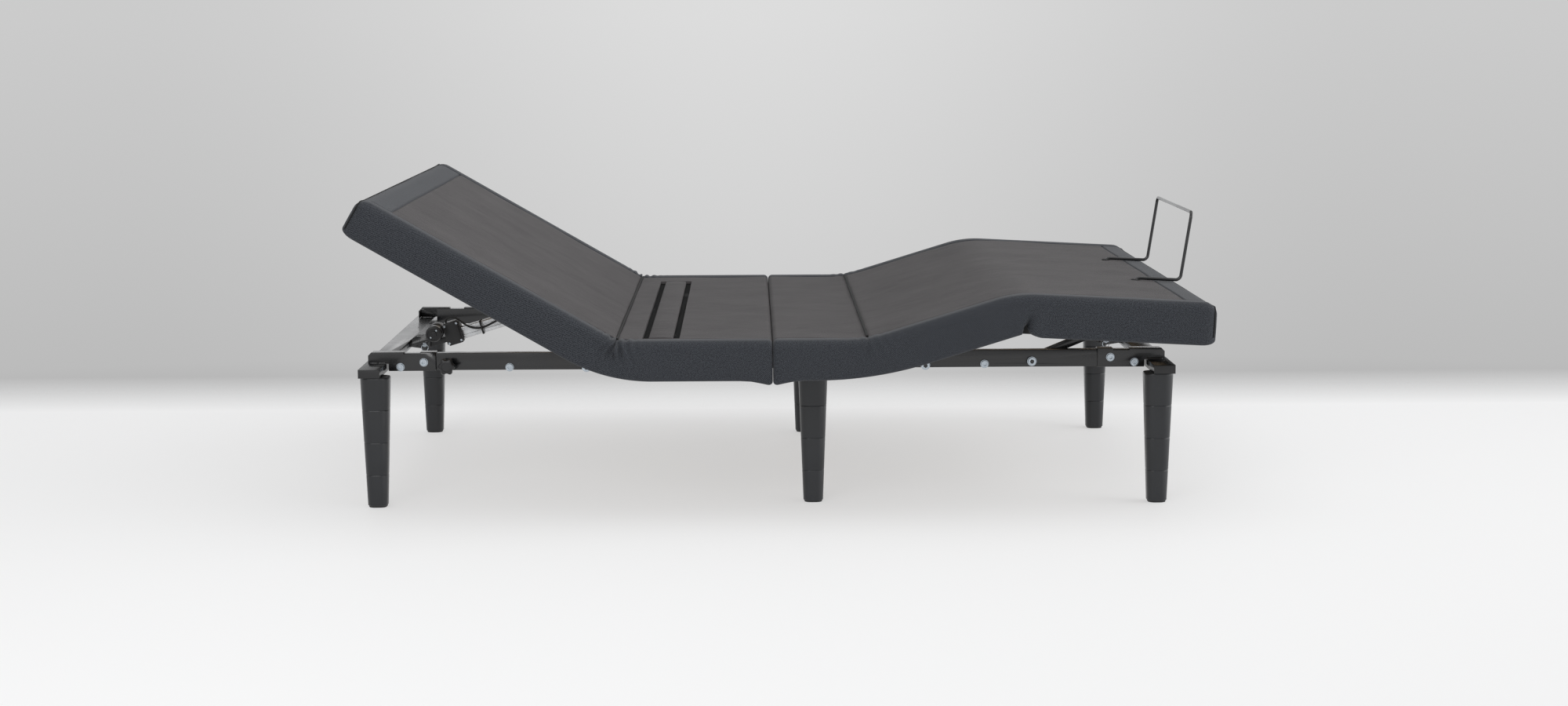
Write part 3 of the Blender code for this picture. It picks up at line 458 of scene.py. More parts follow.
def bend(points, hinge_x, towards, angle, reach_top, reach_low):
    """Bends the deck beyond a hinge, through a curve whose reach changes with depth.
    towards is +1 if +X moves; the curve runs from the fixed line to the moved one."""
    x, z = points[..., 0], points[..., 2]
    above = z - HINGE_Z
    depth = np.clip((TOP - above) / (TOP - LOW), 0, 1)
    reach = reach_top + (reach_low - reach_top) * depth
    along = towards * (x - hinge_x)
    t = np.clip((along + reach) / (2 * reach), 0, 1)
    corner = -above * math.tan(angle * towards / 2)
    start_x = hinge_x - towards * np.maximum(reach, -along)
    end_x = hinge_x + towards * np.maximum(reach, along)
    end = turned_about(end_x, z, hinge_x, angle)
    control = hinge_x + towards * corner
    moved = points.copy()
    for axis, first, middle, last in ((0, start_x, control, end[0]), (2, z, z, end[1])):
        curve = (1 - t) ** 2 * first + 2 * t * (1 - t) * middle + t**2 * last
        moved[..., axis] = np.where(t <= 0, first, np.where(t >= 1, last, curve))
    return moved


def to_rest(points):
    """The flat deck's points moved to the rest pose."""
    folds, on_thigh = points[..., :1] > STRAIGHT_THIGH_X, points[..., :1] > 0
    moved = bend(points, HEAD_X, -1, -HEAD_REST, 0.009, 0.088)
    moved = np.where(folds, bend(points, KNEE_X, 1, -KNEE_REST, 0.046, 0.016), moved)
    whole = bend(points, THIGH_X, 1, THIGH_REST, 0.052, 0.120)
    x, z = turned_about(moved[..., 0], moved[..., 2], THIGH_X, THIGH_REST)
    folded = np.stack([x, moved[..., 1], z], -1)
    return np.where(folds, folded, np.where(on_thigh, whole, moved))


def half_section(side=0.0, top=0.0, under=0.0, level=PAD_UNDER):
    """One side of a cover's section, from under the pad outwards and over to its middle,
    drawn in by side, top and under: (y, z, outward y, outward z, kind).
    Kinds: 0 lining, 1 border, 2 top."""
    y_out, z_top, z_low = HALF - side, TOP - top, LOW + under
    hem = max(HEM_ROUND - 0.6 * max(side, under), 0.002)
    edge = max(EDGE_ROUND - 0.6 * max(side, top), 0.005)
    foot = min(WALL_Y + 0.004, y_out - hem - 0.0005)
    wall = min(WALL_Y, foot - 0.001)
    level = max(level, z_low)
    rows = [(wall, level, 0, 0, 0), (wall, min(z_low + 0.004, level), 0, 0, 0), (foot, z_low, 0, 0, 0)]
    for i in range(6):
        out, down = math.sin(math.pi / 10 * i), math.cos(math.pi / 10 * i)
        rows.append((y_out - hem + hem * out, z_low + hem - hem * down, out, -down, 1))
    side_low, side_top = z_low + hem, z_top - edge
    for i in range(1, SIDE_ROWS):
        t = i / SIDE_ROWS
        bulge = SIDE_BULGE * math.sin(math.pi * t)
        rows.append((y_out + bulge, side_low + (side_top - side_low) * t, 1, 0, 1))
    for i in range(9):
        out, up = math.cos(math.pi / 16 * i), math.sin(math.pi / 16 * i)
        rows.append((y_out - edge + edge * out, z_top - edge + (edge + RIM_PROUD) * up, out, up, 1))
    rim = ((0.024, RIM_PROUD, 1), (0.008, RIM_PROUD * 0.9, 1), (0.0025, RIM_PROUD * 0.3, 1))
    rim += ((0.0, -SEAM_DEPTH, 1), (-0.003, -0.0003, 2), (-0.009, 0.0008, 2))
    rows += [(SEAM_Y + y, z_top + z, 0, 1, kind) for y, z, kind in rim]
    steps = TOP_COLUMNS + 1
    return rows + [(PANEL_Y * (1 - i / steps), z_top, 0, 1, 2) for i in range(1, steps)]


def full_section(extra_y=(), **insets):
    """The whole section as a closed ring, with extra columns at given y on top."""
    half = half_section(**insets)
    z_top = half[-1][1]
    extra = [[(abs(y), z_top, 0, 1, 2) for y in extra_y if y * sign > 0] for sign in (1, -1)]
    extra[0].append((0, z_top, 0, 1, 2))
    edge, panel = half[:-TOP_COLUMNS], half[-TOP_COLUMNS:]
    far, near = (edge + sorted(panel + rows, key=lambda row: -row[0]) for rows in extra)
    return np.array(far + [(-y, z, -out, up, kind) for y, z, out, up, kind in reversed(near)])


def stations(start, end, dense):
    """Places along x: fine within each dense (centre, reach, step), coarse elsewhere."""
    places = set(np.linspace(start, end, max(2, int((end - start) / 0.024)) + 1).round(5))
    for centre, reach, step in dense:
        near = centre + np.arange(-reach, reach + step / 2, step)
        places = {x for x in places if abs(x - centre) > reach + step / 2}
        places |= {round(float(x), 5) for x in near if start < x < end}
    return sorted(places)


def end_rounding(x_end, way, reach, insets, wall, level, steps=8):
    """Stations that round a cover's end over: (x, side, top and under insets, inner level)."""
    none = (0.0, 0.0, 0.0)
    rows = [(x_end - way * wall, none, PAD_UNDER), (x_end - way * (wall - 0.0006), none, level)]
    for i in range(steps):
        angle = math.pi / 2 * i / (steps - 1)
        drawn = tuple(inset * (1 - math.cos(angle)) for inset in insets)
        rows.append((x_end - way * reach * (1 - math.sin(angle)), drawn, level))
    rows.append((x_end, tuple(inset + 0.004 for inset in insets), level))
    return rows if way > 0 else rows[::-1]


def gathers(flat, hinge_x, pitch):
    """Small upright folds in the side cloth near a hinge, deepest high up."""
    x, height = flat[..., 0] - hinge_x, flat[..., 2] - HINGE_Z
    near = bell(x, 0.040)
    high = ease((height - LOW - 0.020) / 0.05)
    lean = height * 0.30 * np.sign(x)
    folds = np.sin(2 * np.pi * (x + lean) / pitch)
    folds += 0.45 * np.sin(2 * np.pi * (x - lean) / (pitch * 1.63) + 1.0)
    return near * high * np.abs(folds) ** 0.8 * np.sign(folds)


def shape_cloth(flat, section):
    """Adds the cloth's gathers, creases and sag to a flat cover."""
    _, _, out, up, kind = section.T
    outer, edge, top = kind > 0, kind == 1, kind == 2
    x, height = flat[..., 0].copy(), flat[..., 2] - HINGE_Z
    # Gathers and a crease across the deck at each hinge
    for hinge_x, size, pitch in ((HEAD_X, 0.0046, 0.019), (THIGH_X, 0.0014, 0.022)):
        folds = size * gathers(flat, hinge_x, pitch) * edge
        flat[..., 1] += out * folds
        flat[..., 2] += 0.55 * folds * up * (height > 0)
    for hinge_x, depth in ((HEAD_X, 0.0030), (THIGH_X, 0.0024)):
        flat[..., 2] -= depth * bell(x - hinge_x, 0.006) * (outer & (height > 0))
    # The side cloth's tuck under the knee, its bulges, and the looser hem beyond
    low = 1 - ease((height - LOW) / 0.062)
    flat[..., 1] -= out * 0.026 * bell(x - KNEE_TUCK_X - 0.3 * (height - LOW), 0.0080) * low * outer
    bulges = bell(x - KNEE_TUCK_X - 0.026, 0.015) + 0.8 * bell(x - KNEE_TUCK_X + 0.026, 0.018)
    flat[..., 1] += out * 0.0040 * bulges * low * outer
    flat[..., 2] += 0.021 * bell(x - KNEE_TUCK_X, 0.010) * (1 - ease((height - LOW) / 0.024)) * outer
    hem = 1 - ease((height - LOW) / 0.05)
    flat[..., 2] -= 0.0055 * ease((x - KNEE_TUCK_X - 0.012) / 0.03) * hem * outer
    # Sag at the mid gap, and slight unevenness everywhere
    for gap in MID_GAP:
        flat[..., 2] -= 0.0050 * bell(x - gap, 0.035) * (1 - ease((height - LOW) / 0.06)) * outer
    ripple = np.sin(x * 23.0 + flat[..., 1] * 3.0) * np.sin(flat[..., 1] * 11.0 - x * 5.0)
    flat[..., 2] += 0.0009 * ripple * top
    wave = np.sin(x * 31.0) + 0.6 * np.sin(x * 57.0 + 1.3)
    flat[..., 1] += out * 0.0008 * wave * (outer & (up == 0))
    return flat


def cut_slot(flat, section):
    """Sinks the seat's slot to the level of the board."""
    x, y = flat[..., 0], flat[..., 1]
    inside_x = np.minimum(x - SLOT_X[0], SLOT_X[1] - x)
    inside_y = np.minimum(y - SLOT_Y[0], SLOT_Y[1] - y)
    sunk = ease((np.minimum(inside_x, inside_y) + 0.0012) / 0.0024) * (section[:, 4] == 2)
    flat[..., 2] -= sunk * (TOP - PAD_UNDER - 0.0008)
    return sunk


def cover(name, start, end, dense, ends, bands=(), slot_y=()):
    """A cover from start to end along the flat deck. ends says how each end closes:
    None for a cut, or (reach, insets, wall thickness, inner level)."""
    rows = [(x, (0.0, 0.0, 0.0), PAD_UNDER) for x in stations(start, end, dense)]
    for x_end, way, how in ((start, -1, ends[0]), (end, 1, ends[1])):
        if how:
            wall = how[2]
            kept = [row for row in rows if way * (x_end - row[0]) > wall + 0.001]
            closing = end_rounding(x_end, way, *how)
            rows = kept + closing if way > 0 else closing + kept
    places = np.array([row[0] for row in rows])
    section = full_section(slot_y)
    flat = np.zeros((len(rows), len(section), 3))
    for ring, (x, (side, top, under), level) in zip(flat, rows):
        drawn = full_section(slot_y, side=side, top=top, under=under, level=level)
        ring[:, 0], ring[:, 1], ring[:, 2] = x, drawn[:, 0], HINGE_Z + drawn[:, 1]
    for band in bands:
        crease = bell(places - band, 0.0022)[:, None] * (section[:, 4] == 2)
        flat[..., 2] -= SEAM_DEPTH * crease
    girth = np.concatenate([[0], np.cumsum(np.hypot(*np.diff(section[:, :2], axis=0).T))])
    flat = shape_cloth(flat, section)
    sunk = cut_slot(flat, section) if slot_y else np.zeros(flat.shape[:2])
    mesh = grid_mesh(to_rest(flat), section, girth, places, sunk, bands)
    return piece_of(mesh, name, None, "deck_fabric", "top", "twill", "lining", "slot")


def grid_mesh(points, section, girth, places, sunk, bands):
    """The cover's quads, its end caps, its UVs in metres and its cloths."""
    rows, count = points.shape[:2]
    shape = bmesh.new()
    verts = [[shape.verts.new(point) for point in row] for row in points]
    layer = shape.loops.layers.uv.new("UVMap")
    for i in range(rows - 1):
        for j in range(count):
            k = (j + 1) % count
            last = k or count - 1
            face = shape.faces.new((verts[i][j], verts[i][k], verts[i + 1][k], verts[i + 1][j]))
            face.material_index = cloth_at(i, j, k, section, places, sunk, bands)
            for loop, (row, column) in zip(face.loops, ((i, j), (i, last), (i + 1, last), (i + 1, j))):
                loop[layer].uv = (places[row], girth[column])
    for row in (0, rows - 1):
        face = shape.faces.new(verts[row] if row else verts[row][::-1])
        face.material_index = 1
        for loop in face.loops:
            loop[layer].uv = (loop.vert.co.y, loop.vert.co.z)
    return mesh_from(shape)


def cloth_at(i, j, k, section, places, sunk, bands):
    """Which cloth a face is: 0 top, 1 border twill, 2 lining, 3 black slot or seam, the slot's lining made
    near-black as painted shade for its depth.
    """
    first, second = section[j, 4], section[k, 4]
    if min(first, second) == 0:
        return 2
    # Faces sunk into the slot get the near-black lining, which is painted shade for the slot's depth.
    if sunk[i : i + 2, [j, k]].min() > 0.3:
        return 3
    middle = (places[i] + places[i + 1]) / 2
    if min(first, second) == 2 and not any(in_band(middle, band) for band in bands):
        return 0
    return 1


def in_band(x, band):
    """Whether x is in the band between a seam and the nearer end of the bed."""
    return x < band if band < HEAD_X else x > band


def across(name, x_flat):
    """A piping cord that crosses the deck's top between the side seams."""
    ys = np.linspace(0.002 - SEAM_Y, SEAM_Y - 0.002, 60)
    flat = np.stack([np.full_like(ys, x_flat), ys, np.full_like(ys, HINGE_Z + TOP)], -1)
    tube(name, to_rest(flat), PIPING_RADIUS, "base", "deck_fabric", "piping")


def end_piping(name, x_end, way, how, body):
    """A piping cord round a cover's outer edge, part of the way over its rounded end."""
    reach, insets, _, _ = how
    over = math.radians(52)
    side, top, under = (inset * (1 - math.cos(over)) for inset in insets)
    section = full_section(side=side, top=top, under=under)
    x_flat = x_end - way * reach * (1 - math.sin(over))
    keep = [row for row in section if row[4] > 0 and row[1] > LOW + under + 0.006]
    points = [(x_flat, y + 0.0006 * out, HINGE_Z + z + 0.0006 * up) for y, z, out, up, _ in keep]
    tube(name, to_rest(np.array(points)), END_PIPING_RADIUS, body, "deck_fabric", "piping", sides=3)


def covers():
    """The three cloth covers that bend at the hinges, and their piping."""
    gap = (0.011, (0.009, 0.011, 0.008), 0.012, BOARD_UNDER)
    head_end = (0.032, (0.024, 0.027, 0.014), 0.0335, LOW)
    slot_lines = [(x, 0.004, 0.0006) for x in SLOT_X]
    slot_y = [edge + shift for edge in SLOT_Y for shift in (-0.0016, -0.0005, 0.0005, 0.0016)]
    dense = [(HEAD_BAND, 0.006, 0.0015), (HEAD_X, 0.095, 0.0027), *slot_lines]
    head = cover("head_cover", HEAD_END, MID_GAP[0], dense, (head_end, gap), (HEAD_BAND,), slot_y)
    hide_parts("head_pad", "seat_head_pad")
    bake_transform(head)
    thigh = cover("thigh_cover", MID_GAP[1], SPLIT_X, [(THIGH_X, 0.075, 0.003)], (gap, None))
    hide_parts("seat_foot_pad", "thigh_pad")
    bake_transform(thigh)
    dense = [(KNEE_X, 0.09, 0.003), (FOOT_BAND, 0.006, 0.0015)]
    foot = cover("foot_cover", SPLIT_X, FOOT_END, dense, (None, head_end), (FOOT_BAND,))
    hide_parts("foot_pad")
    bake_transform(foot)
    across("head_hinge_piping", HEAD_X)
    across("thigh_hinge_piping", THIGH_X)
    end_piping("head_end_piping", HEAD_END, -1, head_end, "head_section")
    end_piping("foot_end_piping", FOOT_END, 1, head_end, "foot_section")


def seat_slat():
    """The padded slat that lies in the seat's slot, slightly crowned."""
    low = (SLAT[0].x, SLAT[0].y + 0.004, SLAT[0].z + 0.0008)
    high = (SLAT[1].x, SLAT[1].y - 0.004, SLAT[1].z + 0.0008)
    mesh = rounded_box(low, high, 0.0038, cuts=2)
    middle = (low[0] + high[0]) / 2
    half = (high[0] - low[0]) / 2
    for vertex in mesh.vertices:
        if vertex.co.z > high[2] - 0.001:
            vertex.co.z += 0.0012 * (1 - ((vertex.co.x - middle) / half) ** 2)
    layer = mesh.uv_layers.new(name="UVMap")
    for loop in mesh.loops:
        place = mesh.vertices[loop.vertex_index].co
        layer.data[loop.index].uv = (place.x, place.y + place.z)
    made = piece_of(mesh, "seat_slat_cover", "base", "deck_fabric", "top")
    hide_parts("seat_slat")


# ---- hardware


def leg_ring(width, height):
    """A square ring about +Z with round corners."""
    radius, steps = 0.36 * width, 9
    reach = width / 2 - radius
    ring = []
    for i, (sx, sy) in enumerate(((1, 1), (-1, 1), (-1, -1), (1, -1))):
        for k in range(steps + 1):
            angle = math.pi / 2 * (i + k / steps)
            x, y = sx * reach + radius * math.cos(angle), sy * reach + radius * math.sin(angle)
            ring.append((x, y, height))
    return ring


def legs():
    """Stacked tapered risers: rounded lips at each joint, and a rubber glide."""
    low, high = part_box("head_left_leg")
    height, top = high.z, high.x - low.x
    foot, riser, glide, lip = 0.0455, 0.0762, 0.004, 0.0022
    seams = [riser * i for i in (1, 2, 3)]
    heights = [glide, glide + 0.0012]
    for seam in seams:
        heights += [seam - lip, seam - lip * 0.35, seam, seam + lip * 0.35, seam + lip]
    heights += [height - 0.006, height - 0.0025, height]
    rings = []
    for z in heights:
        width = foot + (top - foot) * z / height
        near = min(abs(z - seam) for seam in seams)
        inset = 0.0007 if near < 1e-6 else 0.0002 if near < lip * 0.5 else 0.0
        inset += 0.0012 if z in (glide, height) else 0.0
        rings.append(leg_ring(width - 2 * inset, z))
    for name in [f"{end}_{side}_leg" for end in ("head", "middle", "foot") for _, side in SIDES]:
        low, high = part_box(name)
        place = Matrix.Translation(((low.x + high.x) / 2, (low.y + high.y) / 2, 0))
        made = piece_of(loft(rings, place), name + "_shell", "base", "leg_plastic", "leg")
        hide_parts(name)
        pad = [leg_ring(foot - 0.006, 0), leg_ring(foot - 0.004, 0.001)]
        pad.append(leg_ring(foot - 0.004, glide + 0.001))
        piece_of(loft(pad, place), name + "_glide", "base", "black_plastic", "rubber")


def bolt(name, place, side, body, radius=0.0088):
    """A plated cap screw with a hexagon socket, on a flanged washer."""
    matrix = facing(place, (0, side, 0)) @ Matrix.Rotation(random.uniform(0, 1), 4, "Z")
    rings = [circle_points(radius * 1.12, 0, 24), circle_points(radius * 1.12, 0.0011, 24)]
    rings += [circle_points(radius, 0.0012, 24), circle_points(radius, 0.0046, 24)]
    rings += [circle_points(radius * 0.93, 0.0056, 24), circle_points(radius * 0.62, 0.0060, 24)]
    rings += [hexagon_points(radius * 0.54, 0.0058), hexagon_points(radius * 0.50, 0.0012)]
    piece_of(loft(rings, matrix), name, body, "zinc_steel", "zinc")


def bolts():
    """Frame bolts on the brackets and rails, and the heads over the lift pivots."""
    head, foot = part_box("head_left_bracket")[0].x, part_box("foot_left_bracket")[1].x
    on_bracket = [(head + 0.075, 0.317), (head + 0.130, 0.328)]
    on_bracket += [(foot - 0.071, 0.319), (foot - 0.128, 0.331)]
    on_rail = [(HEAD_X - 0.258, 0.315), (THIGH_X + 0.282, 0.316)]
    pivots = [("head_lever", "head_lift_arm"), ("thigh_lever", "thigh_lift_arm")]
    pivots.append(("foot_link_swing", "foot_links"))
    for side, word in SIDES:
        for i, (x, z) in enumerate(on_bracket):
            bolt(f"{word}_bracket_bolt_{i + 1}", (x, side * BRACKET_FACE, z), side, "base")
        for i, (x, z) in enumerate(on_rail):
            bolt(f"{word}_rail_bolt_{i + 1}", (x, side * RAIL_FACE, z), side, "base")
        for joint, body in pivots:
            x, _, z = JOINTS[joint]["pos_m"]
            place = (x, side * (RAIL_FACE + 0.0023), z)
            bolt(f"{word}_{body}_bolt", place, side, body, 0.0098)


def weld_bead(name, start, end):
    """A lumpy run of weld between two points."""
    start, end, radius, pitch = Vector(start), Vector(end), 0.0026, 0.0026
    steps = max(6, int((end - start).length / pitch))
    along = (end - start).normalized()
    rings = []
    for i in range(steps + 1):
        t = i / steps
        size = radius * (0.55 if i in (0, steps) else 1 + 0.22 * (i % 2) + random.uniform(-0.12, 0.12))
        matrix = facing(start.lerp(end, t), along)
        rings.append([matrix @ Vector(point) for point in circle_points(size, 0, 10)])
    piece_of(loft(rings), name, "base", "frame_steel", "steel")


def frame_details():
    """Welds at the corner brackets, and the plastic plugs in the tube ends."""
    z, inner_y = 0.3265, 0.4495
    for end, way in (("head", -1), ("foot", 1)):
        for side, word in SIDES:
            low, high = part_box(f"{end}_{word}_bracket")
            outer = high.x if way > 0 else low.x
            runs = [("weld", side * (BRACKET_FACE + 0.0006), 0.004, 0.044)]
            runs.append(("inner_weld", side * inner_y, 0.006, 0.040))
            for kind, y, near, far in runs:
                weld_bead(f"{end}_{word}_{kind}", (outer - way * near, y, z), (outer - way * far, y, z))
    z, half_x, half_z, tube_half = 0.3149, 0.0247, 0.0098, 0.025
    for end, way in (("head", -1), ("middle", 0), ("foot", 1)):
        low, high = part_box(f"{end}_cross_tube")
        middle = (low.x + tube_half, (low.x + high.x) / 2, high.x - tube_half)[way + 1]
        for side, word in SIDES:
            y = side * high.y
            inner, outer = sorted((y - side * 0.002, y + side * 0.0022))
            corners = (middle - half_x, inner, z - half_z), (middle + half_x, outer, z + half_z)
            name = f"{end}_cross_tube_{word}_plug"
            piece_of(rounded_box(*corners, 0.0015), name, "base", "black_plastic", "plastic")


def knobs():
    """Six-lobed knobs with a domed face and a pressed-in cap."""
    for side, word in SIDES:
        low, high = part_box(word + "_hand_knob")
        near = low.y if side > 0 else high.y
        depth = high.y - low.y
        place = ((low.x + high.x) / 2, near, (low.z + high.z) / 2)
        neck = [(0.0105, 0.0, 0.0), (0.0105, 0.008, 0.0), (0.0155, 0.0088, 0.0012)]
        grip = [(0.0178, 0.0108, 0.0020), (0.0184, 0.0145, 0.0023), (0.0182, depth - 0.006, 0.0023)]
        dome = [(0.0172, depth - 0.0022, 0.0019), (0.0150, depth - 0.0006, 0.0010)]
        cap = [(0.0112, depth, 0.0), (0.0108, depth - 0.0012, 0.0)]
        profile = neck + grip + dome + cap
        rings = [circle_points(radius, height, 72, 6, lobe) for radius, height, lobe in profile]
        mesh = loft(rings, facing(place, (0, side, 0)))
        made = piece_of(mesh, word + "_knob_grip", word + "_knob", "black_plastic", "plastic")
        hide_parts(word + "_hand_knob")


def retainer():
    """The bent-wire mattress stop, and the rubber grommets that it plugs into."""
    wire, half, hook, end = 0.004, 0.262, 0.333, 0.443
    lean, rise = 0.017, 0.170
    over, top = TOP + wire + 0.001, TOP + rise
    near = [(hook, half, -0.006), (hook, half, over), (end, half, over), (end + lean, half, top)]
    corners = near + [(x, -y, z) for x, y, z in reversed(near)]
    path = rounded_path([Vector(point) for point in corners], 0.013, 10)
    tilt = Matrix.Translation(KNEE) @ Matrix.Rotation(FOOT_DROP, 4, "Y")
    path = [tilt @ point for point in path]
    bar = tube("mattress_retainer_bar", path, wire, "foot_section", "frame_steel", "steel", sides=6)
    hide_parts("mattress_retainer")
    profile = [(0.0062, -0.002), (0.0098, -0.002), (0.0105, 0.0006)]
    profile += [(0.0098, 0.0018), (0.0080, 0.0022), (0.0062, 0.0012)]
    for side, word in SIDES:
        place = tilt @ Matrix.Translation((hook + 0.001, side * half, TOP))
        rings = [circle_points(radius, height, 28) for radius, height in profile]
        mesh = loft(rings + [rings[0]], place, closed=False)
        piece_of(mesh, word + "_retainer_grommet", "foot_section", "black_plastic", "rubber")


def rounded_path(points, radius, steps):
    """Straight runs with their corners turned through arcs."""
    path = [points[0]]
    for before, corner, after in zip(points, points[1:], points[2:]):
        back, on = (before - corner).normalized(), (after - corner).normalized()
        half = back.angle(on) / 2
        centre = corner + (back + on).normalized() * (radius / math.sin(half))
        start = corner + back * (radius / math.tan(half)) - centre
        end = corner + on * (radius / math.tan(half)) - centre
        axis, turn = start.cross(end), start.angle(end)
        path += [centre + Matrix.Rotation(turn * i / steps, 3, axis) @ start for i in range(steps + 1)]
    return path + [points[-1]]


def actuator_frame(prefix):
    """A matrix whose +X runs along an actuator from its clevis pin, with +Z upwards."""
    along = Vector(JOINTS[prefix + "_rod_slide"]["axis"])
    up = Vector((-along.z, 0, along.x)) * (1 if along.x > 0 else -1)
    turn = Matrix((along, up.cross(along), up)).transposed().to_4x4()
    return Matrix.Translation(JOINTS[prefix + "_actuator_swing"]["pos_m"]) @ turn


def extrusion_ring(u, shrink=0.0):
    """The aluminium sleeve's section: a rounded rectangle with a groove on each face."""
    half_y, half_z = 0.0178 - shrink, 0.0153 - shrink
    quarter = []
    for angle in np.linspace(0, math.pi / 2, 5):
        quarter.append((half_y - 0.003 + 0.003 * math.cos(angle), half_z - 0.003 + 0.003 * math.sin(angle)))
    groove_z = [(half_y, 0.0062), (half_y - 0.0016, 0.0054), (half_y - 0.0016, 0.0)]
    groove_y = [(0.0, half_z - 0.0016), (0.0064, half_z - 0.0016), (0.0072, half_z)]
    first = groove_z[::-1] + quarter + groove_y[::-1]
    ring = first + [(-y, z) for y, z in reversed(first[:-1])]
    ring += [(-y, -z) for y, z in first[1:]] + [(y, -z) for y, z in reversed(first[1:-1])]
    return [(u, y, z) for y, z in ring]


def actuators():
    """The drives under the head and thigh sections, each in the frame of its own axis."""
    for side, prefix in ((-1, "head"), (1, "thigh")):
        matrix, body = actuator_frame(prefix), prefix + "_actuator"
        motor(prefix, body, matrix, side)
        sleeve(prefix, body, matrix)
        gearbox_screws(prefix, body, matrix)
        clevis_pin(prefix, matrix)


def motor(prefix, body, matrix, side):
    """The motor's can, end cap, collar and two screws."""
    along, above = 0.0346, 0.022
    axis = matrix @ Matrix.Translation((along, 0, above)) @ Matrix.Rotation(math.pi / 2, 4, "X")
    can = [(0.0172, -0.044), (0.0186, -0.042), (0.0188, -0.040)]
    can += [(0.0188, 0.046), (0.0184, 0.0475), (0.017, 0.048)]
    made = piece_of(turned(can, axis, 40), prefix + "_motor_can", body, "actuator_alloy", "aluminium")
    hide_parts(prefix + "_motor")
    cap = [(0.0195, 0.0470), (0.0200, 0.0480), (0.0200, 0.0585), (0.0192, 0.0610), (0.0150, 0.0620)]
    cap += [(0.0148, 0.0605), (0.0075, 0.0605), (0.0070, 0.0630), (0.0040, 0.0634)]
    collar = [(0.0196, -0.030), (0.0203, -0.029), (0.0203, 0.020), (0.0196, 0.021)]
    for word, profile in (("cap", cap), ("collar", collar)):
        mesh = turned(profile, axis, 40)
        piece_of(mesh, f"{prefix}_motor_{word}", body, "black_plastic", "plastic")
    screw = [(0.0022, 0), (0.0022, 0.0010), (0.0014, 0.0015)]
    for i, angle in enumerate((0.6, 0.6 + math.pi)):
        place = axis @ Vector((0.0112 * math.cos(angle), 0.0112 * math.sin(angle), 0.0605))
        plated_part(f"{prefix}_motor_screw_{i + 1}", screw, place, (0, side, 0), body)


def sleeve(prefix, body, matrix):
    """The grooved aluminium sleeve round the rod, and its end cap."""
    start, end, lip = 0.0984, 0.2506, 0.0006
    rows = ((start, 0.0004), (start + lip, 0), (end - lip, 0), (end, 0.0004))
    mesh = loft([extrusion_ring(u, shrink) for u, shrink in rows], matrix)
    made = piece_of(mesh, prefix + "_sleeve_extrusion", body, "actuator_alloy", "aluminium")
    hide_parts(prefix + "_sleeve")
    rows = ((0.2507, -0.0006), (0.2565, -0.0006), (0.2580, 0.0008))
    mesh = loft([extrusion_ring(u, shrink) for u, shrink in rows], matrix)
    piece_of(mesh, prefix + "_sleeve_end_cap", body, "black_plastic", "plastic")


def gearbox_screws(prefix, body, matrix):
    """Eight cover screws, four on each side of the gearbox."""
    screw = [(0.0030, 0), (0.0030, 0.0012), (0.0024, 0.0018)]
    for i, (u, w) in enumerate(((0.061, -0.015), (0.092, -0.015), (0.061, 0.029), (0.092, 0.029))):
        for side, word in ((-1, "near"), (1, "far")):
            place = matrix @ Vector((u, side * 0.0258, w))
            direction = matrix.to_3x3() @ Vector((0, side, 0))
            plated_part(f"{prefix}_gearbox_screw_{i + 1}_{word}", screw, place, direction, body)


def clevis_pin(prefix, matrix):
    """The plated ends of the clevis pin, and the ring clip through one of them."""
    end = [(0.0056, 0), (0.0056, 0.0075), (0.0046, 0.0086)]
    head = [(0.0058, 0), (0.0080, 0.0004), (0.0080, 0.0022), (0.0070, 0.0030)]
    for side, word, profile in ((-1, "end", end), (1, "head", head)):
        place = matrix.translation + Vector((0, side * 0.0190, 0))
        plated_part(f"{prefix}_clevis_pin_{word}", profile, place, (0, side, 0), "base", 24)
    centre = matrix.translation + Vector((0, -0.0245, -0.0075))
    radius, twist, ring = 0.0085, 0.0012, []
    for i in range(28):
        angle = 2 * math.pi * i / 28
        offset = (radius * math.cos(angle), twist * math.sin(2 * angle), radius * math.sin(angle))
        ring.append(centre + Vector(offset))
    tube(prefix + "_clevis_clip", ring, 0.0009, "base", "zinc_steel", "zinc", cyclic=True, sides=3)


def roller_hubs():
    """Plated axle ends with retaining rings, outside each roller."""
    axle = [(0.0052, 0), (0.0072, 0.0002), (0.0072, 0.0014), (0.0050, 0.0016), (0.0046, 0.0030)]
    for prefix in ("head", "thigh"):
        pivot = Vector(JOINTS[prefix + "_roller_spin"]["pos_m"])
        for side, word in SIDES:
            place, name = pivot + Vector((0, side * 0.0635, 0)), f"{word}_{prefix}_axle_clip"
            plated_part(name, axle, place, (0, side, 0), prefix + "_lift_arm", 24)


def control_details():
    """Lid screws and a vent grille under the control unit."""
    low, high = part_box("control_box")
    inset, screw = 0.010, [(0.0032, 0), (0.0032, 0.0010), (0.0022, 0.0018)]
    xs, ys = (low.x + inset, high.x - inset), (low.y + inset, high.y - inset)
    for i, (x, y) in enumerate((x, y) for y in ys for x in xs):
        plated_part(f"control_lid_screw_{i + 1}", screw, (x, y, low.z), (0, 0, -1), "base")
    start, pitch, width, margin = low.x + 0.045, 0.010, 0.004, 0.03
    for i in range(7):
        x = start + pitch * i
        rib = (x, low.y + margin, low.z - 0.0012), (x + width, high.y - margin, low.z + 0.001)
        mesh = rounded_box(*rib, 0.0008)
        piece_of(mesh, f"control_vent_rib_{i + 1}", "base", "black_plastic", "plastic")


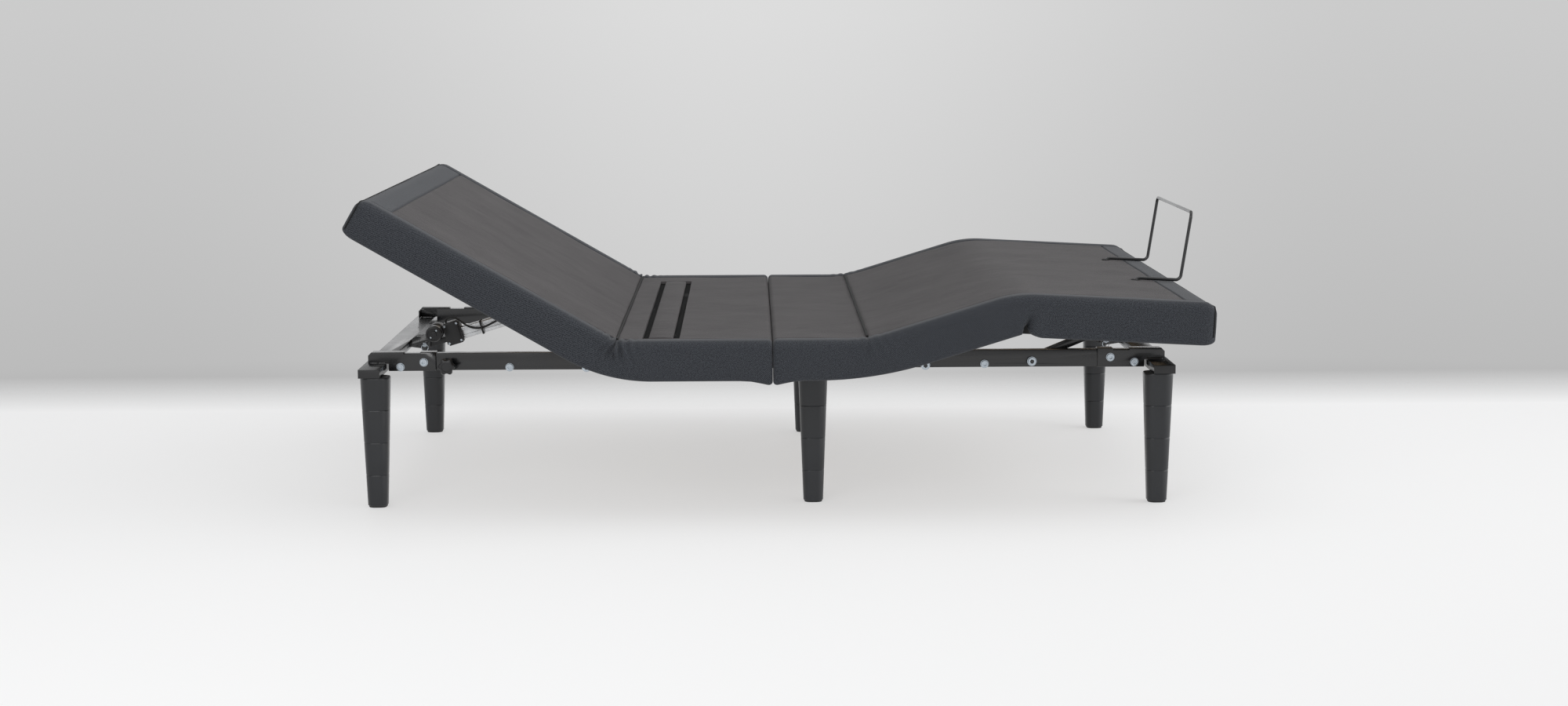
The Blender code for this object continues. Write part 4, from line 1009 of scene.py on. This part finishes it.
def finishes():
    """Materials for the CAD nodes that stay visible."""
    tubes = ("_cross_tube", "_side_rail", "_frame_tube", "_torque_tube")
    mouldings = ("_gearbox", "control_box", "_track", "cable_coupler")
    dress([name for name in NODES if name.endswith(tubes + ("_bracket", "_foot_link"))], "steel", 0.0007)
    dress([name for name in NODES if name.endswith("_board")], "wood")
    dress([name for name in NODES if name.endswith(mouldings)], "plastic", 0.0006)
    dress(["head_actuator_rod", "thigh_actuator_rod"], "zinc")
    dress(["head_motor_cable", "cable_tie"], "rubber")
    dress([name for name in NODES if name.endswith("_roller")], "nylon", 0.0015)


# ---- studio


def camera():
    """The viewpoint: in front of the right-hand side, looking slightly down."""
    pitch, yaw, roll = 0.1289, 0.0130, -0.0043
    made = bpy.data.cameras.new("camera")
    made.lens = 59.33
    made.sensor_width = 36
    made.clip_end = 100
    seen = in_scene("camera", made)
    right = Vector((math.cos(yaw), -math.sin(yaw), 0))
    forward = Vector((math.sin(yaw) * math.cos(pitch), math.cos(yaw) * math.cos(pitch), -math.sin(pitch)))
    up = right.cross(forward)
    level, tilted = math.cos(roll), math.sin(roll)
    turn = Matrix((right * level + up * tilted, up * level - right * tilted, -forward))
    turn = turn.transposed().to_4x4()
    seen.matrix_world = Matrix.Translation((-0.0799, -6.4839, 1.1230)) @ turn
    bpy.context.scene.camera = seen


def area_light(name, place, target, size, power):
    """A rectangular lamp at place that faces target."""
    light = bpy.data.lights.new(name, "AREA")
    light.shape = "RECTANGLE"
    light.size, light.size_y = size
    light.energy = power
    made = in_scene(name, light)
    made.matrix_world = facing(place, Vector(place) - Vector(target))


def backdrop():
    """Soft grey surroundings, a little lighter high up behind the bed."""
    world = bpy.data.worlds.new("studio")
    bpy.context.scene.world = world
    world.use_nodes = True
    tree = world.node_tree
    tree.nodes.clear()
    new, join = tree.nodes.new, tree.links.new

    def spread(source, low, high, dim, bright):
        """Source between low and high, as a value from dim to bright."""
        made = new("ShaderNodeMapRange")
        join(source, made.inputs["Value"])
        for socket, value in (("From Min", low), ("From Max", high), ("To Min", dim), ("To Max", bright)):
            made.inputs[socket].default_value = value
        return made

    split = new("ShaderNodeSeparateXYZ")
    join(new("ShaderNodeTexCoord").outputs["Generated"], split.inputs[0])
    # What the camera sees: a grey that changes with height and fades from the middle
    ramp = new("ShaderNodeValToRGB")
    join(spread(split.outputs["Z"], -0.20, 0.20, 0.0, 1.0).outputs["Result"], ramp.inputs["Fac"])
    shades = ((0.0, 0.60), (0.155, 0.462), (0.18, 0.51), (0.30, 0.55), (0.50, 0.61), (1.0, 0.66))
    for place, _ in shades[1:-1]:
        ramp.color_ramp.elements.new(place)
    for element, (_, shade) in zip(ramp.color_ramp.elements, shades):
        element.color = (shade, shade, shade, 1)
    centre = new("ShaderNodeMath")
    centre.operation = "ABSOLUTE"
    join(split.outputs["X"], centre.inputs[0])
    glow = spread(centre.outputs[0], 0.0, 0.24, 1.18, 0.98)
    glow.interpolation_type = "SMOOTHSTEP"
    seen = new("ShaderNodeBackground")
    join(glow.outputs["Result"], seen.inputs["Strength"])
    join(ramp.outputs["Color"], seen.inputs["Color"])
    # What lights the bed: a softbox on the right, and less from above
    both, lit = new("ShaderNodeMath"), new("ShaderNodeBackground")
    lit.inputs["Color"].default_value = (0.985, 0.99, 1.0, 1)
    join(spread(split.outputs["X"], 0.55, 0.80, 0.0, 1.3).outputs["Result"], both.inputs[0])
    join(spread(split.outputs["Z"], 0.15, 0.60, 0.86, 0.52).outputs["Result"], both.inputs[1])
    join(both.outputs[0], lit.inputs["Strength"])
    mix = new("ShaderNodeMixShader")
    join(new("ShaderNodeLightPath").outputs["Is Camera Ray"], mix.inputs["Fac"])
    join(lit.outputs[0], mix.inputs[1])
    join(seen.outputs[0], mix.inputs[2])
    join(mix.outputs[0], new("ShaderNodeOutputWorld").inputs["Surface"])


def floor():
    """A pale floor that fades out behind the bed, where the wall would start."""
    shape = bmesh.new()
    bmesh.ops.create_grid(shape, x_segments=1, y_segments=1, size=1)
    shape.transform(Matrix.Translation((0, -10.05, -0.0004)) @ Matrix.Diagonal((30, 12, 1, 1)))
    mesh = bpy.data.meshes.new("floor")
    shape.to_mesh(mesh)
    shape.free()
    made = in_scene("floor", mesh)
    paint = Paint("floor", (0.38, 0.38, 0.38), 0.75, Emission_Strength=0.49)
    paint.set("Emission Color", (1.0, 1.0, 1.0, 1))
    position = paint.coordinates((1, 1, 1))
    split = paint.node("ShaderNodeSeparateXYZ", {"Vector": position})
    paint.link(paint.ramp(split.outputs["Y"], 0.95, 1.68, 1.0, 0.0), "Alpha")
    mesh.materials.append(paint.material)


def studio():
    """Camera, surroundings, floor and lamps."""
    scene = bpy.context.scene
    scene.view_settings.view_transform = "Standard"
    camera()
    backdrop()
    floor()
    area_light("overhead", (0.2, -0.4, 3.6), (0, 0, 0.3), (4.2, 3.4), 36)
    area_light("front", (-1.6, -4.6, 2.6), (0, 0, 0.3), (2.6, 1.6), 52)
    area_light("side", (4.0, -1.2, 1.7), (0.3, 0, 0.35), (1.6, 2.2), 16)


studio()
finishes()
covers()
seat_slat()
legs()
bolts()
frame_details()
knobs()
retainer()
actuators()
roller_hubs()
control_details()
